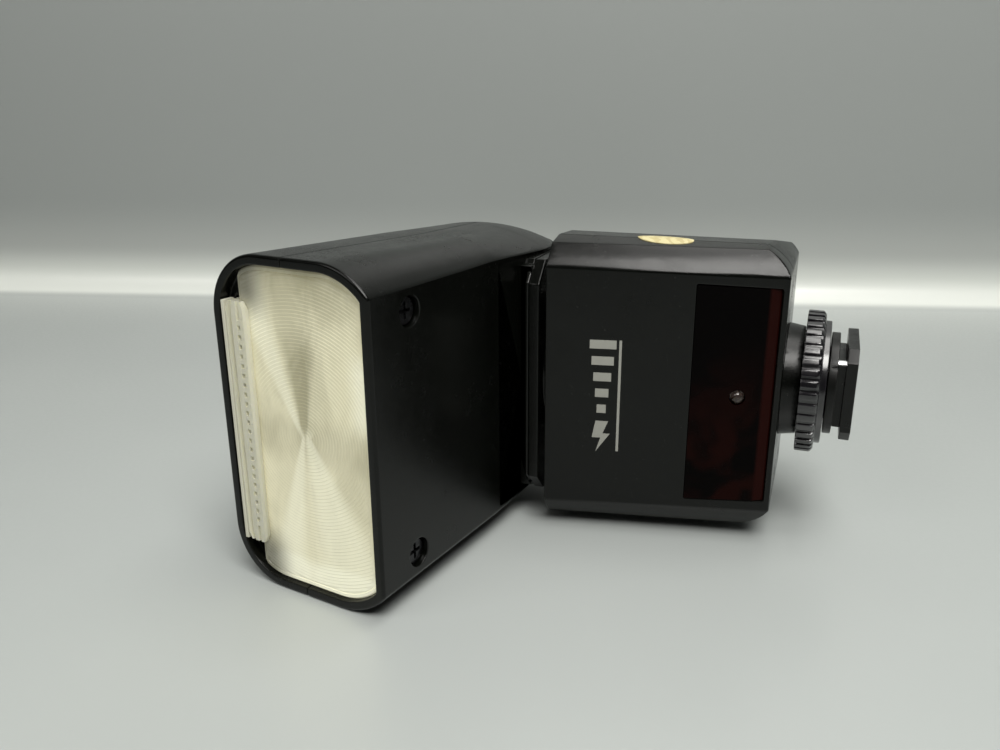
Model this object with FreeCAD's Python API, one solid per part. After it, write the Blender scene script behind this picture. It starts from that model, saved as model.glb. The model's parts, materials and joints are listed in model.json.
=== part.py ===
"""Compact shoe-mount speedlight flash, lying on its side.

Bench axes while modelling: X runs along the shoe axis towards the foot, Y runs from the
front of the flash to its back, Z is up.  Z is 0 on the flash's plane of symmetry, and X and
Y are 0 on the edge where the flat front face meets the head end of the control body.
save() moves every piece from the bench to the part's own frame: the origin is under the
middle of the whole object, on the surface that it lies on.
"""
import FreeCAD, Part

import math
import os

os.makedirs("parts", exist_ok=True)
V = FreeCAD.Vector

# ---- driving dimensions, mm -------------------------------------------------------------
REST_HALF_WIDTH = 31.0        # half of the head's 62 mm width: height of the symmetry plane
ORIGIN_X = 4.62               # bench X of the part's origin
ORIGIN_Y = -1.75              # bench Y of the part's origin
GAP = 0.05                    # running clearance in every sliding or turning fit

FACE_ANGLE = 10.5             # lean of the flat front face from the shoe axis, degrees
BODY_LENGTH = 44.1            # head end to foot end, along X
BODY_BACK = 38.0              # Y of the control panel
BODY_HALF = 29.5              # widest half width of the body
BODY_WALL = 2.0
PARTING_DEPTH = 8.0           # depth of the seam between front and rear shell

HEAD_ANGLE = 80.28            # direction from the lens to the hinge in the bench XY plane
HEAD_EDGE = V(-14.40, -42.70, 0)   # front edge of the head's underside
HEAD_THICK = 34.5
HEAD_HALF = 31.0
HEAD_WALL = 1.8
HEAD_TAPER = 0.037            # loss of half width per mm behind the lens face, on +Z only
HEAD_FRONT = 38.0             # length of the evenly tapering front part of the head
SEAM_Q = 17.7                 # height of the head's seam above its underside
PIVOT_S = 57.0                # tilt axis, from the lens face
PIVOT_Q = 15.0                # tilt axis, above the underside
END_Q = HEAD_THICK / 2        # centre of the head's rounded rear end
YOKE_HALF = 24.9              # half of the gap between the two hinge cheeks
UNDERSIDE_END = 43.9          # where the underside stops, from the lens face

SWIVEL_Y = 19.0               # swivel axis
SHOE_Y = 22.63                # axis of the lock ring and the foot
FOOT_HALF = 9.3               # half of the 18.6 mm shoe foot


# ---- small shape helpers ----------------------------------------------------------------
def box(x, y, z):
    """Box from three (low, high) pairs."""
    size = (x[1] - x[0], y[1] - y[0], z[1] - z[0])
    return Part.makeBox(size[0], size[1], size[2], V(x[0], y[0], z[0]))


def rod(radius, start, end):
    """Round rod between two points."""
    return Part.makeCylinder(radius, (end - start).Length, start, end - start)


def tube(outer, inner, start, end):
    return rod(outer, start, end).cut(rod(inner, start, end))


def cone(radius_a, radius_b, start, end):
    return Part.makeCone(radius_a, radius_b, (end - start).Length, start, end - start)


def line(a, b):
    return Part.LineSegment(a, b).toShape()


def arc(a, mid, b):
    return Part.Arc(a, mid, b).toShape()


def prism(points, along):
    """Prism of a closed polygon."""
    return Part.Face(Part.makePolygon(points + points[:1])).extrude(along)


def mirror_z(shape):
    return shape.mirror(V(0, 0, 0), V(0, 0, 1))


def pair(shape):
    """The shape and its mirror image across the symmetry plane."""
    return Part.makeCompound([shape, mirror_z(shape)])


def face_frame(shape):
    """From (along the front face, depth behind it, z) to the bench."""
    moved = shape.copy()
    moved.rotate(V(0, 0, 0), V(0, 0, 1), FACE_ANGLE)
    return moved


def head_frame(shape):
    """From (distance behind the lens face, height above the underside, z) to the bench."""
    moved = shape.copy()
    moved.rotate(V(0, 0, 0), V(0, 0, 1), HEAD_ANGLE)
    moved.translate(HEAD_EDGE)
    return moved


def save(node, shape):
    moved = shape.copy()
    moved.translate(V(-ORIGIN_X, -ORIGIN_Y, REST_HALF_WIDTH))
    moved.exportStep("parts/" + node + ".step")


# ---- control body -----------------------------------------------------------------------
FRONT_HALF = 24.0             # half width of the flat front face at the head end
FRONT_TAPER = 0.02            # loss of that half width per mm along the face
CREASE_DEPTH = 3.6            # where the slanted front flank ends
CREASE_HALF = 28.55
CREASE_TAPER = 0.013
FLANK_BULGE = 0.2
UPPER_TAPER = 0.029           # loss of the widest half width per mm, on the +Z side only
KNEE_DEPTH = 16.0             # where the +Z side starts to fall away to the back
KNEE_DROP = 0.4
REAR_SLOPE = 0.17
FAR_DEPTH = 60.0              # beyond the back of the body


def flank_points(u, inset):
    """Corners of one side across the front face: front edge, bulge, crease and widest."""
    half = FRONT_HALF - FRONT_TAPER * u - 0.6 * inset
    start = V(u, inset, half)
    crease = V(u, CREASE_DEPTH + 0.5 * inset, CREASE_HALF - CREASE_TAPER * u - inset)
    chord = crease - start
    outward = V(0, -chord.z, chord.y).normalize()
    bulge = (start + crease) / 2 + outward * FLANK_BULGE
    return [start, bulge, crease, V(u, PARTING_DEPTH, BODY_HALF - inset)]


def front_section(u, inset):
    """Outline across the front face at station u, open at the back of the body."""
    start, bulge, crease, widest = flank_points(u, inset)
    widest.z -= UPPER_TAPER * u
    back = V(u, FAR_DEPTH, widest.z + 1.0)
    low = [V(p.x, p.y, -p.z) for p in flank_points(u, inset)]
    low_back = V(u, FAR_DEPTH, inset - BODY_HALF)
    edges = [arc(start, bulge, crease), line(crease, widest), line(widest, back),
             line(back, low_back), line(low_back, low[3]), line(low[3], low[2]),
             arc(low[2], low[1], low[0]), line(low[0], start)]
    return Part.Wire(edges)


def rear_slope(inset):
    """All that lies above the +Z side where it falls away to the back, in the face frame."""
    u = -10.0
    top = BODY_HALF - inset - UPPER_TAPER * u
    low = top - KNEE_DROP - REAR_SLOPE * (FAR_DEPTH - KNEE_DEPTH)
    points = [V(u, PARTING_DEPTH, top), V(u, KNEE_DEPTH, top - KNEE_DROP), V(u, FAR_DEPTH, low),
              V(u, FAR_DEPTH, FAR_DEPTH), V(u, PARTING_DEPTH, FAR_DEPTH)]
    return prism(points, V(80, 0, -80 * UPPER_TAPER))


def body_solid(inset):
    """Outer form of the control body, or its cavity when inset is the wall."""
    sections = [front_section(-2, inset), front_section(52, inset)]
    front = face_frame(Part.makeLoft(sections, True, True).cut(rear_slope(inset)))

    end = BODY_LENGTH - inset
    side = BODY_HALF - inset
    plan = [V(inset, -30, side), V(37.2 - inset, -30, side - 0.7), V(end - 2.6, -30, side - 2.7),
            V(end, -30, side - 6.0)]
    low = [V(p.x, p.y, -p.z) for p in plan]
    edges = [line(plan[0], plan[1]), arc(plan[1], plan[2], plan[3]), line(plan[3], low[3]),
             arc(low[3], low[2], low[1]), line(low[1], low[0]), line(low[0], plan[0])]
    outline = Part.Face(Part.Wire(edges)).extrude(V(0, 90, 0))

    back = BODY_BACK - inset
    rear = [V(-10, -30, side), V(-10, 20, side), V(-10, 31, side - 2.2),
            V(-10, back - 2.1, side - 4.0), V(-10, back, side - 8.0)]
    low = [V(-10, -30, -side), V(-10, 8, -side), V(-10, 31, 1.0 - side),
           V(-10, back - 1.7, 2.9 - side), V(-10, back, 8.0 - side)]
    edges = [line(rear[0], rear[1]), line(rear[1], rear[2]), arc(rear[2], rear[3], rear[4]),
             line(rear[4], low[4]), arc(low[4], low[3], low[2]), line(low[2], low[1]),
             line(low[1], low[0]), line(low[0], rear[0])]
    section = Part.Face(Part.Wire(edges)).extrude(V(80, 0, 0))
    return front.common(outline).common(section)


# battery compartment, in the face frame
CELL_U = (16.9, 31.9)
CELL_DEPTH = 12.6
CELL_RADIUS = 7.25
CELL_LENGTH = 50.5
CELL_FAR_Z = 24.4             # upper end of both cells
NUB_HEIGHT = 1.4
CRADLE_U = (9.6, 39.9)
CRADLE_DEPTH = (15.2, 20.8)
CRADLE_Z = (-26.0, 24.9)
CONTACT_Z = (25.1, 25.6)
CRADLE_POCKETS = (-24.8, -7.9, 9.0)
POCKET_LENGTH = 14.6
DOOR_U = (8.6, 40.2)
DOOR_DEPTH = (5.0, 20.6)
DOOR_AXIS_DEPTH = 21.4
DOOR_AXIS_Z = -28.7
DOOR_BARREL = 1.1
DOOR_PIN = 0.5

# red window in the front face, in the face frame
WINDOW_U = (28.3, 43.7)
WINDOW_HALF = (21.8, 21.3)
WINDOW_THICK = 1.6
SENSOR_U = 37.1
SENSOR_RADIUS = 1.35

# control panel on the back
LCD_X = (4.0, 21.5)
LCD_HALF = 17.0
DIAL_X = 33.6
DIAL_RADIUS = 8.6
SET_RADIUS = 4.2
KEY_X = 26.4
KEY_Z = (-21.4, -14.4, 14.4, 21.4)
KEY_SIZE = (3.6, 5.2)
KEY_RISE = 0.7
POWER_X = 37.0
POWER_Z = -18.5
TEST_X = 37.0
TEST_Z = 18.5
TEST_RADIUS = 2.6
BOARD_Y = (32.6, 33.8)
BOARD_HALF = 23.2

# sockets in the upper side
SYNC_X = 31.0
SYNC_Y = 30.0
SYNC_BORE = 1.25
SYNC_Z = (17.4, 26.3)
SYNC_DEPTH = 8.0
PORT_X = (12.0, 22.0)
PORT_Y = (26.0, 30.8)
FLAP_AXIS = (12.8, 25.9)      # X and Z of the port cover's hinge
FLAP_PIN = 0.35
SIDE_TOP = 24.15              # mouth of the USB socket

SHAFT_RADIUS = 8.0
SHAFT_BORE = 5.0
NECK_SPIGOT = 8.9
BASE_SCREWS = ((20.5, 19.5), (30.5, 19.5))


def window_prism(grow, depth_low, depth_high):
    u0 = WINDOW_U[0] - grow
    u1 = WINDOW_U[1] + grow
    a = WINDOW_HALF[0] + grow
    b = WINDOW_HALF[1] + grow
    points = [V(u0, depth_low, -a), V(u0, depth_low, a), V(u1, depth_low, b), V(u1, depth_low, -b)]
    return prism(points, V(0, depth_high - depth_low, 0))


def door_slot():
    """Opening in the lower side: the door, its hinge barrel and their swing."""
    axis_low = V(DOOR_U[0] - 0.2, DOOR_AXIS_DEPTH, DOOR_AXIS_Z)
    axis_high = V(DOOR_U[1] + 0.2, DOOR_AXIS_DEPTH, DOOR_AXIS_Z)
    swing = box((DOOR_U[0] - 0.2, DOOR_U[1] + 0.2), (DOOR_DEPTH[0] - 0.2, DOOR_AXIS_DEPTH),
                (-40, -24))
    barrel = rod(DOOR_BARREL + 0.25, axis_low, axis_high)
    relief = box((DOOR_U[0] - 0.2, DOOR_U[1] + 0.2),
                 (DOOR_AXIS_DEPTH - 0.1, DOOR_AXIS_DEPTH + DOOR_BARREL + 0.25),
                 (-40, DOOR_AXIS_Z))
    over = V(1.2, 0, 0)
    pin = rod(DOOR_PIN, axis_low - over, axis_high + over)
    return face_frame(swing.fuse([barrel, relief, pin]))


def rear_openings():
    cuts = [box((LCD_X[0] - 0.1, LCD_X[1] + 0.1), (30, 45), (-LCD_HALF - 0.1, LCD_HALF + 0.1))]
    cuts.append(rod(DIAL_RADIUS + 0.2, V(DIAL_X, 36.8, 0), V(DIAL_X, 45, 0)))
    cuts.append(rod(5.7, V(DIAL_X, 30, 0), V(DIAL_X, 45, 0)))
    for z in KEY_Z:
        cuts.append(box((KEY_X - KEY_SIZE[0] / 2 - 0.12, KEY_X + KEY_SIZE[0] / 2 + 0.12), (30, 45),
                        (z - KEY_SIZE[1] / 2 - 0.12, z + KEY_SIZE[1] / 2 + 0.12)))
    cuts.append(rod(TEST_RADIUS + 0.12, V(TEST_X, 30, TEST_Z), V(TEST_X, 45, TEST_Z)))
    cuts.append(box((POWER_X - 1.7, POWER_X + 1.7), (36.9, 45), (POWER_Z - 5.2, POWER_Z + 5.2)))
    cuts.append(box((POWER_X - 0.9, POWER_X + 0.9), (30, 45), (POWER_Z - 3.2, POWER_Z + 3.2)))
    return cuts


def hollow_body():
    return body_solid(0).cut(body_solid(BODY_WALL))


def make_front_shell(hollow):
    half = face_frame(box((-30, 90), (-5, PARTING_DEPTH), (-40, 40)))
    shell = hollow.common(half)
    shell = shell.cut(face_frame(window_prism(0.05, -1, WINDOW_THICK)))
    light_port = box((WINDOW_U[0] + 3, WINDOW_U[1] - 4), (1, 5), (-17, 17))
    shell = shell.cut(face_frame(light_port))
    return shell.cut([door_slot(), rod(NECK_SPIGOT + 0.1, V(40, SHOE_Y, 0), V(50, SHOE_Y, 0)),
                      rod(SHAFT_RADIUS + GAP, V(-5, SWIVEL_Y, 0), V(8, SWIVEL_Y, 0))])


def make_rear_shell(hollow):
    half = face_frame(box((-30, 90), (PARTING_DEPTH, 80), (-40, 40)))
    shell = hollow.common(half)
    cuts = rear_openings()
    cuts.append(door_slot())
    cuts.append(rod(NECK_SPIGOT + 0.1, V(40, SHOE_Y, 0), V(50, SHOE_Y, 0)))
    cuts.append(rod(SHAFT_RADIUS + GAP, V(-5, SWIVEL_Y, 0), V(8, SWIVEL_Y, 0)))
    cuts.append(rod(2.3, V(SYNC_X, SYNC_Y, SYNC_Z[0]), V(SYNC_X, SYNC_Y, 40)))
    cuts.append(box(PORT_X, PORT_Y, (20, 40)))
    for y, z in BASE_SCREWS:
        for side in (-z, z):
            cuts.append(rod(1.1, V(40, y, side), V(50, y, side)))
            cuts.append(rod(2.2, V(BODY_LENGTH - 0.9, y, side), V(50, y, side)))
    return shell.cut(cuts)


def make_control_body():
    hollow = hollow_body()
    save("front_shell", make_front_shell(hollow))
    save("rear_shell", make_rear_shell(hollow))

    window = window_prism(0, 0, WINDOW_THICK)
    bevel = prism([V(41.4, 0, -30), V(50, 0, -30), V(50, 2.6, -30)], V(0, 0, 60))
    hole = rod(SENSOR_RADIUS + 0.1, V(SENSOR_U, -1, 0), V(SENSOR_U, 3, 0))
    save("af_window", face_frame(window.cut([bevel, hole])))
    dome = Part.makeSphere(SENSOR_RADIUS, V(SENSOR_U, 0.9, 0))
    stem = rod(SENSOR_RADIUS, V(SENSOR_U, 0.9, 0), V(SENSOR_U, 4.6, 0))
    save("af_lamp", face_frame(dome.fuse(stem).removeSplitter()))

    screws = []
    for y, z in BASE_SCREWS:
        for side in (-z, z):
            head = rod(2.0, V(BODY_LENGTH - 0.8, y, side), V(BODY_LENGTH, y, side))
            shank = rod(1.0, V(BODY_LENGTH - 7, y, side), V(BODY_LENGTH - 0.8, y, side))
            drive = [box((BODY_LENGTH - 0.5, 60), (y - 1.2, y + 1.2), (side - 0.25, side + 0.25)),
                     box((BODY_LENGTH - 0.5, 60), (y - 0.25, y + 0.25), (side - 1.2, side + 1.2))]
            screws.append(head.fuse(shank).cut(drive))
    save("base_screws", Part.makeCompound(screws))

    seal = Part.Face(Part.Wire(Part.Ellipse(V(0, 0, 0), 5.4, 3.4).toShape()))
    seal = seal.extrude(V(0, 0, 12))
    seal.translate(V(20.3, 12.0, 22))
    save("seal_sticker", seal.common(body_solid(-0.12)).cut(body_solid(0)))


def make_battery_parts():
    cradle = box(CRADLE_U, CRADLE_DEPTH, CRADLE_Z)
    for u in CELL_U:
        cradle = cradle.cut(rod(CELL_RADIUS + 0.1, V(u, CELL_DEPTH, -30), V(u, CELL_DEPTH, 30)))
    for z in CRADLE_POCKETS:
        cradle = cradle.cut(box((0, 60), (CRADLE_DEPTH[1] - 0.5, 40), (z, z + POCKET_LENGTH)))
    shaft_room = rod(SHAFT_RADIUS + 0.6, V(0, SWIVEL_Y, 0), V(8, SWIVEL_Y, 0))
    save("battery_cradle", face_frame(cradle).cut(shaft_room))

    near = CELL_FAR_Z - CELL_LENGTH
    for number, u in enumerate(CELL_U):
        can = rod(CELL_RADIUS, V(u, CELL_DEPTH, near + NUB_HEIGHT), V(u, CELL_DEPTH, CELL_FAR_Z))
        nub = rod(2.6, V(u, CELL_DEPTH, near), V(u, CELL_DEPTH, near + 2 * NUB_HEIGHT))
        cell = can.fuse(nub)
        if number:
            cell.rotate(V(u, CELL_DEPTH, CELL_FAR_Z - CELL_LENGTH / 2), V(0, 1, 0), 180)
        save("battery_cell_" + str(number + 1), face_frame(cell))

    contacts = []
    for u in CELL_U:
        plate = box((u - 5, u + 5), (CELL_DEPTH - 5, CELL_DEPTH + 5), CONTACT_Z)
        spring = cone(3.6, 2.2, V(u, CELL_DEPTH, CONTACT_Z[0]), V(u, CELL_DEPTH, CELL_FAR_Z + GAP))
        contacts.append(plate.fuse(spring))
    save("battery_contacts", face_frame(Part.makeCompound(contacts)))


def make_battery_door():
    region = box(DOOR_U, DOOR_DEPTH, (-40, -BODY_HALF + BODY_WALL))
    plate = body_solid(0).common(face_frame(region))
    axis_low = V(DOOR_U[0], DOOR_AXIS_DEPTH, DOOR_AXIS_Z)
    axis_high = V(DOOR_U[1], DOOR_AXIS_DEPTH, DOOR_AXIS_Z)
    barrel = rod(DOOR_BARREL, axis_low, axis_high)
    web = box(DOOR_U, (DOOR_DEPTH[1] - 0.5, DOOR_AXIS_DEPTH), (DOOR_AXIS_Z - 0.4, DOOR_AXIS_Z + 0.6))
    recess = box((12.5, 22.5), (6.6, 11.6), (-40, -28.8))
    pin_hole = rod(DOOR_PIN + GAP, axis_low, axis_high)
    door = plate.fuse([face_frame(barrel), face_frame(web)])
    door = door.cut([face_frame(recess), face_frame(pin_hole)])
    save("battery_door", door)

    strip = box((12.5, 36.5), (CELL_DEPTH - 3.5, CELL_DEPTH + 3.5), (BODY_WALL - BODY_HALF, -26.2))
    save("door_contact", face_frame(strip))
    over = V(1.0, 0, 0)
    save("door_hinge_pin", face_frame(rod(DOOR_PIN, axis_low - over, axis_high + over)))

    latch = box((12.8, 18.6), (7.0, 11.2), (-29.3, -28.8))
    grips = [box((u, u + 0.5), (7.4, 10.8), (-29.5, -29.3)) for u in (13.6, 14.8, 16.0, 17.2)]
    save("door_latch", face_frame(latch.fuse(grips)))


def make_control_panel():
    save("control_board", box((3, 40.3), BOARD_Y, (-BOARD_HALF, BOARD_HALF)))
    save("lcd_module", box((LCD_X[0] + 0.6, LCD_X[1] - 0.6), (BOARD_Y[1], 36.4), (-16.2, 16.2)))
    save("lcd_window", box(LCD_X, (36.4, BODY_BACK), (-LCD_HALF, LCD_HALF)))

    for number, z in enumerate(KEY_Z):
        cap = box((KEY_X - KEY_SIZE[0] / 2, KEY_X + KEY_SIZE[0] / 2), (34.8, BODY_BACK + KEY_RISE),
                  (z - KEY_SIZE[1] / 2, z + KEY_SIZE[1] / 2))
        edges = [e for e in cap.Edges if e.BoundBox.YMin > BODY_BACK]
        save("key_" + str(number + 1), cap.makeFillet(0.35, edges))

    knob = rod(TEST_RADIUS, V(TEST_X, 34.8, TEST_Z), V(TEST_X, BODY_BACK + KEY_RISE, TEST_Z))
    edges = [e for e in knob.Edges if e.BoundBox.YMin > BODY_BACK]
    save("test_button", knob.makeFillet(0.4, edges))

    dial = rod(DIAL_RADIUS, V(DIAL_X, 37.0, 0), V(DIAL_X, BODY_BACK + 1.2, 0))
    edges = [e for e in dial.Edges if e.BoundBox.YMin > BODY_BACK]
    dial = dial.makeFillet(0.5, edges).fuse(rod(5.6, V(DIAL_X, 34.6, 0), V(DIAL_X, 37.0, 0)))
    dial = dial.cut(rod(SET_RADIUS + 0.1, V(DIAL_X, 30, 0), V(DIAL_X, 45, 0)))
    ribs = []
    for step in range(36):
        turn = math.radians(10 * step)
        centre = V(DIAL_X + DIAL_RADIUS * math.cos(turn), 36, DIAL_RADIUS * math.sin(turn))
        ribs.append(rod(0.28, centre, centre + V(0, 6, 0)))
    save("select_dial", dial.cut(ribs))
    knob = rod(SET_RADIUS, V(DIAL_X, 34.8, 0), V(DIAL_X, BODY_BACK + 0.9, 0))
    edges = [e for e in knob.Edges if e.BoundBox.YMin > BODY_BACK]
    save("set_button", knob.makeFillet(0.5, edges))

    slider = box((POWER_X - 1.5, POWER_X + 1.5), (37.0, 38.9), (POWER_Z - 5.0, POWER_Z + 1.8))
    stem = box((POWER_X - 0.8, POWER_X + 0.8), (34.4, 37.0), (POWER_Z - 3.1, POWER_Z - 0.1))
    grooves = [box((POWER_X - 2, POWER_X + 2), (38.5, 39), (z, z + 0.5))
               for z in (POWER_Z - 3.6, POWER_Z - 2.4, POWER_Z - 1.2, POWER_Z)]
    save("power_switch", slider.fuse(stem).cut(grooves))


def make_sockets():
    jack = tube(2.2, SYNC_BORE, V(SYNC_X, SYNC_Y, SYNC_Z[0]), V(SYNC_X, SYNC_Y, SYNC_Z[1]))
    wider = rod(1.6, V(SYNC_X, SYNC_Y, 12), V(SYNC_X, SYNC_Y, SYNC_Z[1] - SYNC_DEPTH))
    save("sync_jack", jack.cut(wider))
    port = box((13.4, 21.0), (27.0, 29.8), (SIDE_TOP - 5.6, SIDE_TOP))
    save("usb_socket", port.cut(box((13.7, 20.7), (27.3, 29.5), (SIDE_TOP - 4.6, 30))))
    plug = box((FLAP_AXIS[0] - 0.4, PORT_X[1] - 0.1), (PORT_Y[0] + 0.1, PORT_Y[1] - 0.1),
               (SIDE_TOP + 0.8, FLAP_AXIS[1] + 0.55))
    flap = plug.common(body_solid(0))
    knuckle = rod(FLAP_PIN, V(FLAP_AXIS[0], PORT_Y[0] + 0.3, FLAP_AXIS[1]),
                  V(FLAP_AXIS[0], PORT_Y[1] - 0.3, FLAP_AXIS[1]))
    relief = box((0, FLAP_AXIS[0] + 0.3), (20, 35), (10, FLAP_AXIS[1] - 0.3))
    save("port_cover", flap.cut(relief).fuse(knuckle))


# foot, along X from the neck to the plate
NECK_X = 40.6
RING_RADIUS = 14.29
RING_X = (47.46, 50.97)
RING_BEVEL = 0.57
RING_GROOVES = 40
STEM_RADIUS = 7.25
WIRE_HOLE = 2.5
PLATFORM_X = 52.35            # disc above the foot
STEM_X = 53.9                 # block between the disc and the plate
FOOT_X = 55.4
FOOT_THICK = 2.0
FOOT_CORNER = 2.4
PIN_RADIUS = 1.1
PIN_Y = SHOE_Y - 6.6
PIN_Z = 5.6
CONTACTS = ((0.0, 0.0, 1.3), (5.3, 2.3, 0.8), (5.3, -2.3, 0.8), (2.9, 5.6, 0.8), (2.9, -5.6, 0.8))


def make_foot():
    axis = [V(x, SHOE_Y, 0) for x in (NECK_X, 42.0, BODY_LENGTH, 47.3, PLATFORM_X)]
    neck = rod(12.0, axis[0], axis[1]).fuse([
        rod(NECK_SPIGOT, axis[1], axis[2]), cone(11.5, 10.95, axis[2], axis[3]),
        rod(STEM_RADIUS, axis[3], axis[4])])
    save("foot_neck", neck.cut(rod(WIRE_HOLE, V(30, SHOE_Y, 0), V(60, SHOE_Y, 0))).removeSplitter())

    ring = rod(RING_RADIUS, V(RING_X[0], SHOE_Y, 0), V(RING_X[1] - RING_BEVEL, SHOE_Y, 0))
    ring = ring.fuse([
        cone(RING_RADIUS, RING_RADIUS - 0.8, V(RING_X[1] - RING_BEVEL, SHOE_Y, 0),
             V(RING_X[1], SHOE_Y, 0)),
        rod(12.35, V(RING_X[1], SHOE_Y, 0), V(RING_X[1] + 1.13, SHOE_Y, 0))])
    ring = ring.cut(rod(STEM_RADIUS + GAP, V(40, SHOE_Y, 0), V(60, SHOE_Y, 0)))
    grooves = []
    for step in range(RING_GROOVES):
        groove = box((47.0, 51.2), (RING_RADIUS - 0.54, 15.0), (-0.42, 0.42))
        groove.rotate(V(0, 0, 0), V(1, 0, 0), 360 / RING_GROOVES * step)
        groove.translate(V(0, SHOE_Y, 0))
        grooves.append(groove)
    save("lock_ring", ring.cut(grooves))

    pin_hole = rod(PIN_RADIUS + GAP, V(50, PIN_Y, PIN_Z), V(60, PIN_Y, PIN_Z))
    base = rod(10.2, axis[4], V(STEM_X, SHOE_Y, 0))
    stem = box((STEM_X, FOOT_X), (SHOE_Y - 8.6, SHOE_Y + 8.6), (-6.2, 6.2))
    save("shoe_base", base.fuse(stem).cut([pin_hole, rod(WIRE_HOLE, axis[3], V(60, SHOE_Y, 0))]))

    lead = SHOE_Y - FOOT_HALF
    plate = prism([V(FOOT_X, lead + FOOT_CORNER, -FOOT_HALF),
                   V(FOOT_X, lead, -FOOT_HALF + FOOT_CORNER),
                   V(FOOT_X, lead, FOOT_HALF - FOOT_CORNER),
                   V(FOOT_X, lead + FOOT_CORNER, FOOT_HALF),
                   V(FOOT_X, SHOE_Y + FOOT_HALF, FOOT_HALF),
                   V(FOOT_X, SHOE_Y + FOOT_HALF, -FOOT_HALF)], V(FOOT_THICK, 0, 0))
    seat_x = FOOT_X + 0.4
    holes = [rod(r, V(seat_x, SHOE_Y + y, z), V(60, SHOE_Y + y, z)) for y, z, r in CONTACTS]
    save("foot_plate", plate.cut(holes + [pin_hole]))
    tip_x = FOOT_X + FOOT_THICK + 0.25
    studs = [rod(r, V(seat_x, SHOE_Y + y, z), V(tip_x, SHOE_Y + y, z)) for y, z, r in CONTACTS]
    save("shoe_contacts", Part.makeCompound(studs))
    save("locking_pin", rod(PIN_RADIUS, V(PLATFORM_X + GAP, PIN_Y, PIN_Z),
                            V(FOOT_X + FOOT_THICK - 0.1, PIN_Y, PIN_Z)))


# ---- swivel turret ----------------------------------------------------------------------
def pivot_point():
    turn = math.radians(HEAD_ANGLE)
    along = V(math.cos(turn), math.sin(turn), 0)
    up = V(-math.sin(turn), math.cos(turn), 0)
    return HEAD_EDGE + along * PIVOT_S + up * PIVOT_Q


TURRET_HALF = YOKE_HALF - 0.3
FACET = 4.2                   # slanted corner facets of the turret's base
BASE_X = (-4.0, -1.9)         # base plate against the body
BASE_Y = (1.6, 36.4)
STEP_X = (-4.95, -4.25)       # second band, with a narrow groove between the two
STEP_Y = (2.2, 34.0)
REAR_Y = 30.0                 # back of the block that carries the tilt barrel
BARREL_RADIUS = 12.0
SHAFT_TOP = -0.5              # where the shaft meets the turret's boss
BOSS_RADIUS = 14.5


def faceted(x, y, facet):
    """Block across the turret whose corners along X are cut at 45 degrees."""
    block = box(x, y, (-TURRET_HALF, TURRET_HALF))
    edges = [e for e in block.Edges if abs(e.Vertexes[0].Y - e.Vertexes[-1].Y) < 0.1
             and abs(e.Vertexes[0].Z - e.Vertexes[-1].Z) < 0.1]
    return block.makeChamfer(facet, edges)


def make_turret():
    pivot = pivot_point()
    front = pivot.y - BARREL_RADIUS
    base = faceted(BASE_X, BASE_Y, FACET)
    step = faceted(STEP_X, STEP_Y, FACET)
    core = box((pivot.x, BASE_X[0]), (front, REAR_Y), (1.0 - TURRET_HALF, TURRET_HALF - 1.0))
    block = faceted((pivot.x, STEP_X[0]), (front, REAR_Y), FACET + STEP_Y[0] - front)
    barrel = rod(BARREL_RADIUS, V(pivot.x, pivot.y, -TURRET_HALF), V(pivot.x, pivot.y, TURRET_HALF))
    boss = rod(BOSS_RADIUS, V(BASE_X[1], SWIVEL_Y, 0), V(SHAFT_TOP, SWIVEL_Y, 0))
    turret = base.fuse([step, core, block, barrel, boss]).removeSplitter()
    axle = rod(3.0 + GAP, V(pivot.x, pivot.y, -40), V(pivot.x, pivot.y, 40))
    hollow = box((pivot.x - 4, -6.4), (12.0, 26.0), (8.0 - TURRET_HALF, TURRET_HALF - 8.0))
    wires = rod(SHAFT_BORE, V(-8, SWIVEL_Y, 0), V(5, SWIVEL_Y, 0))
    save("swivel_turret", turret.cut([axle, hollow, wires]))
    shaft = tube(SHAFT_RADIUS, SHAFT_BORE, V(SHAFT_TOP, SWIVEL_Y, 0), V(6.4, SWIVEL_Y, 0))
    groove = tube(SHAFT_RADIUS + 1, 7.2, V(3.6, SWIVEL_Y, 0), V(4.6, SWIVEL_Y, 0))
    save("swivel_shaft", shaft.cut(groove))
    save("retaining_ring", tube(10.6, 7.2, V(3.6, SWIVEL_Y, 0), V(4.6, SWIVEL_Y, 0)))
    save("swivel_washer", tube(11.4, SHAFT_RADIUS + 0.1, V(2.0, SWIVEL_Y, 0), V(3.4, SWIVEL_Y, 0)))


# ---- flash head -------------------------------------------------------------------------
LOW_CENTRE = (10.5, 17.37)    # lower flank arc: height above the underside, half width
LOW_RADIUS = 13.63
TOP_CENTRE = (23.5, 20.0)     # upper corner arc
TOP_RADIUS = 11.0
CHEEK_EDGE = 25.2             # half width of the hinge cheeks at their rim
CHEEK_HALF = 29.4             # half width of the hinge cheeks at their middle
CHEEK_RADIUS = 37.5
SCREW_S = 10.5
SCREW_Z = 22.0
RECESS_RADIUS = 2.6


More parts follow.
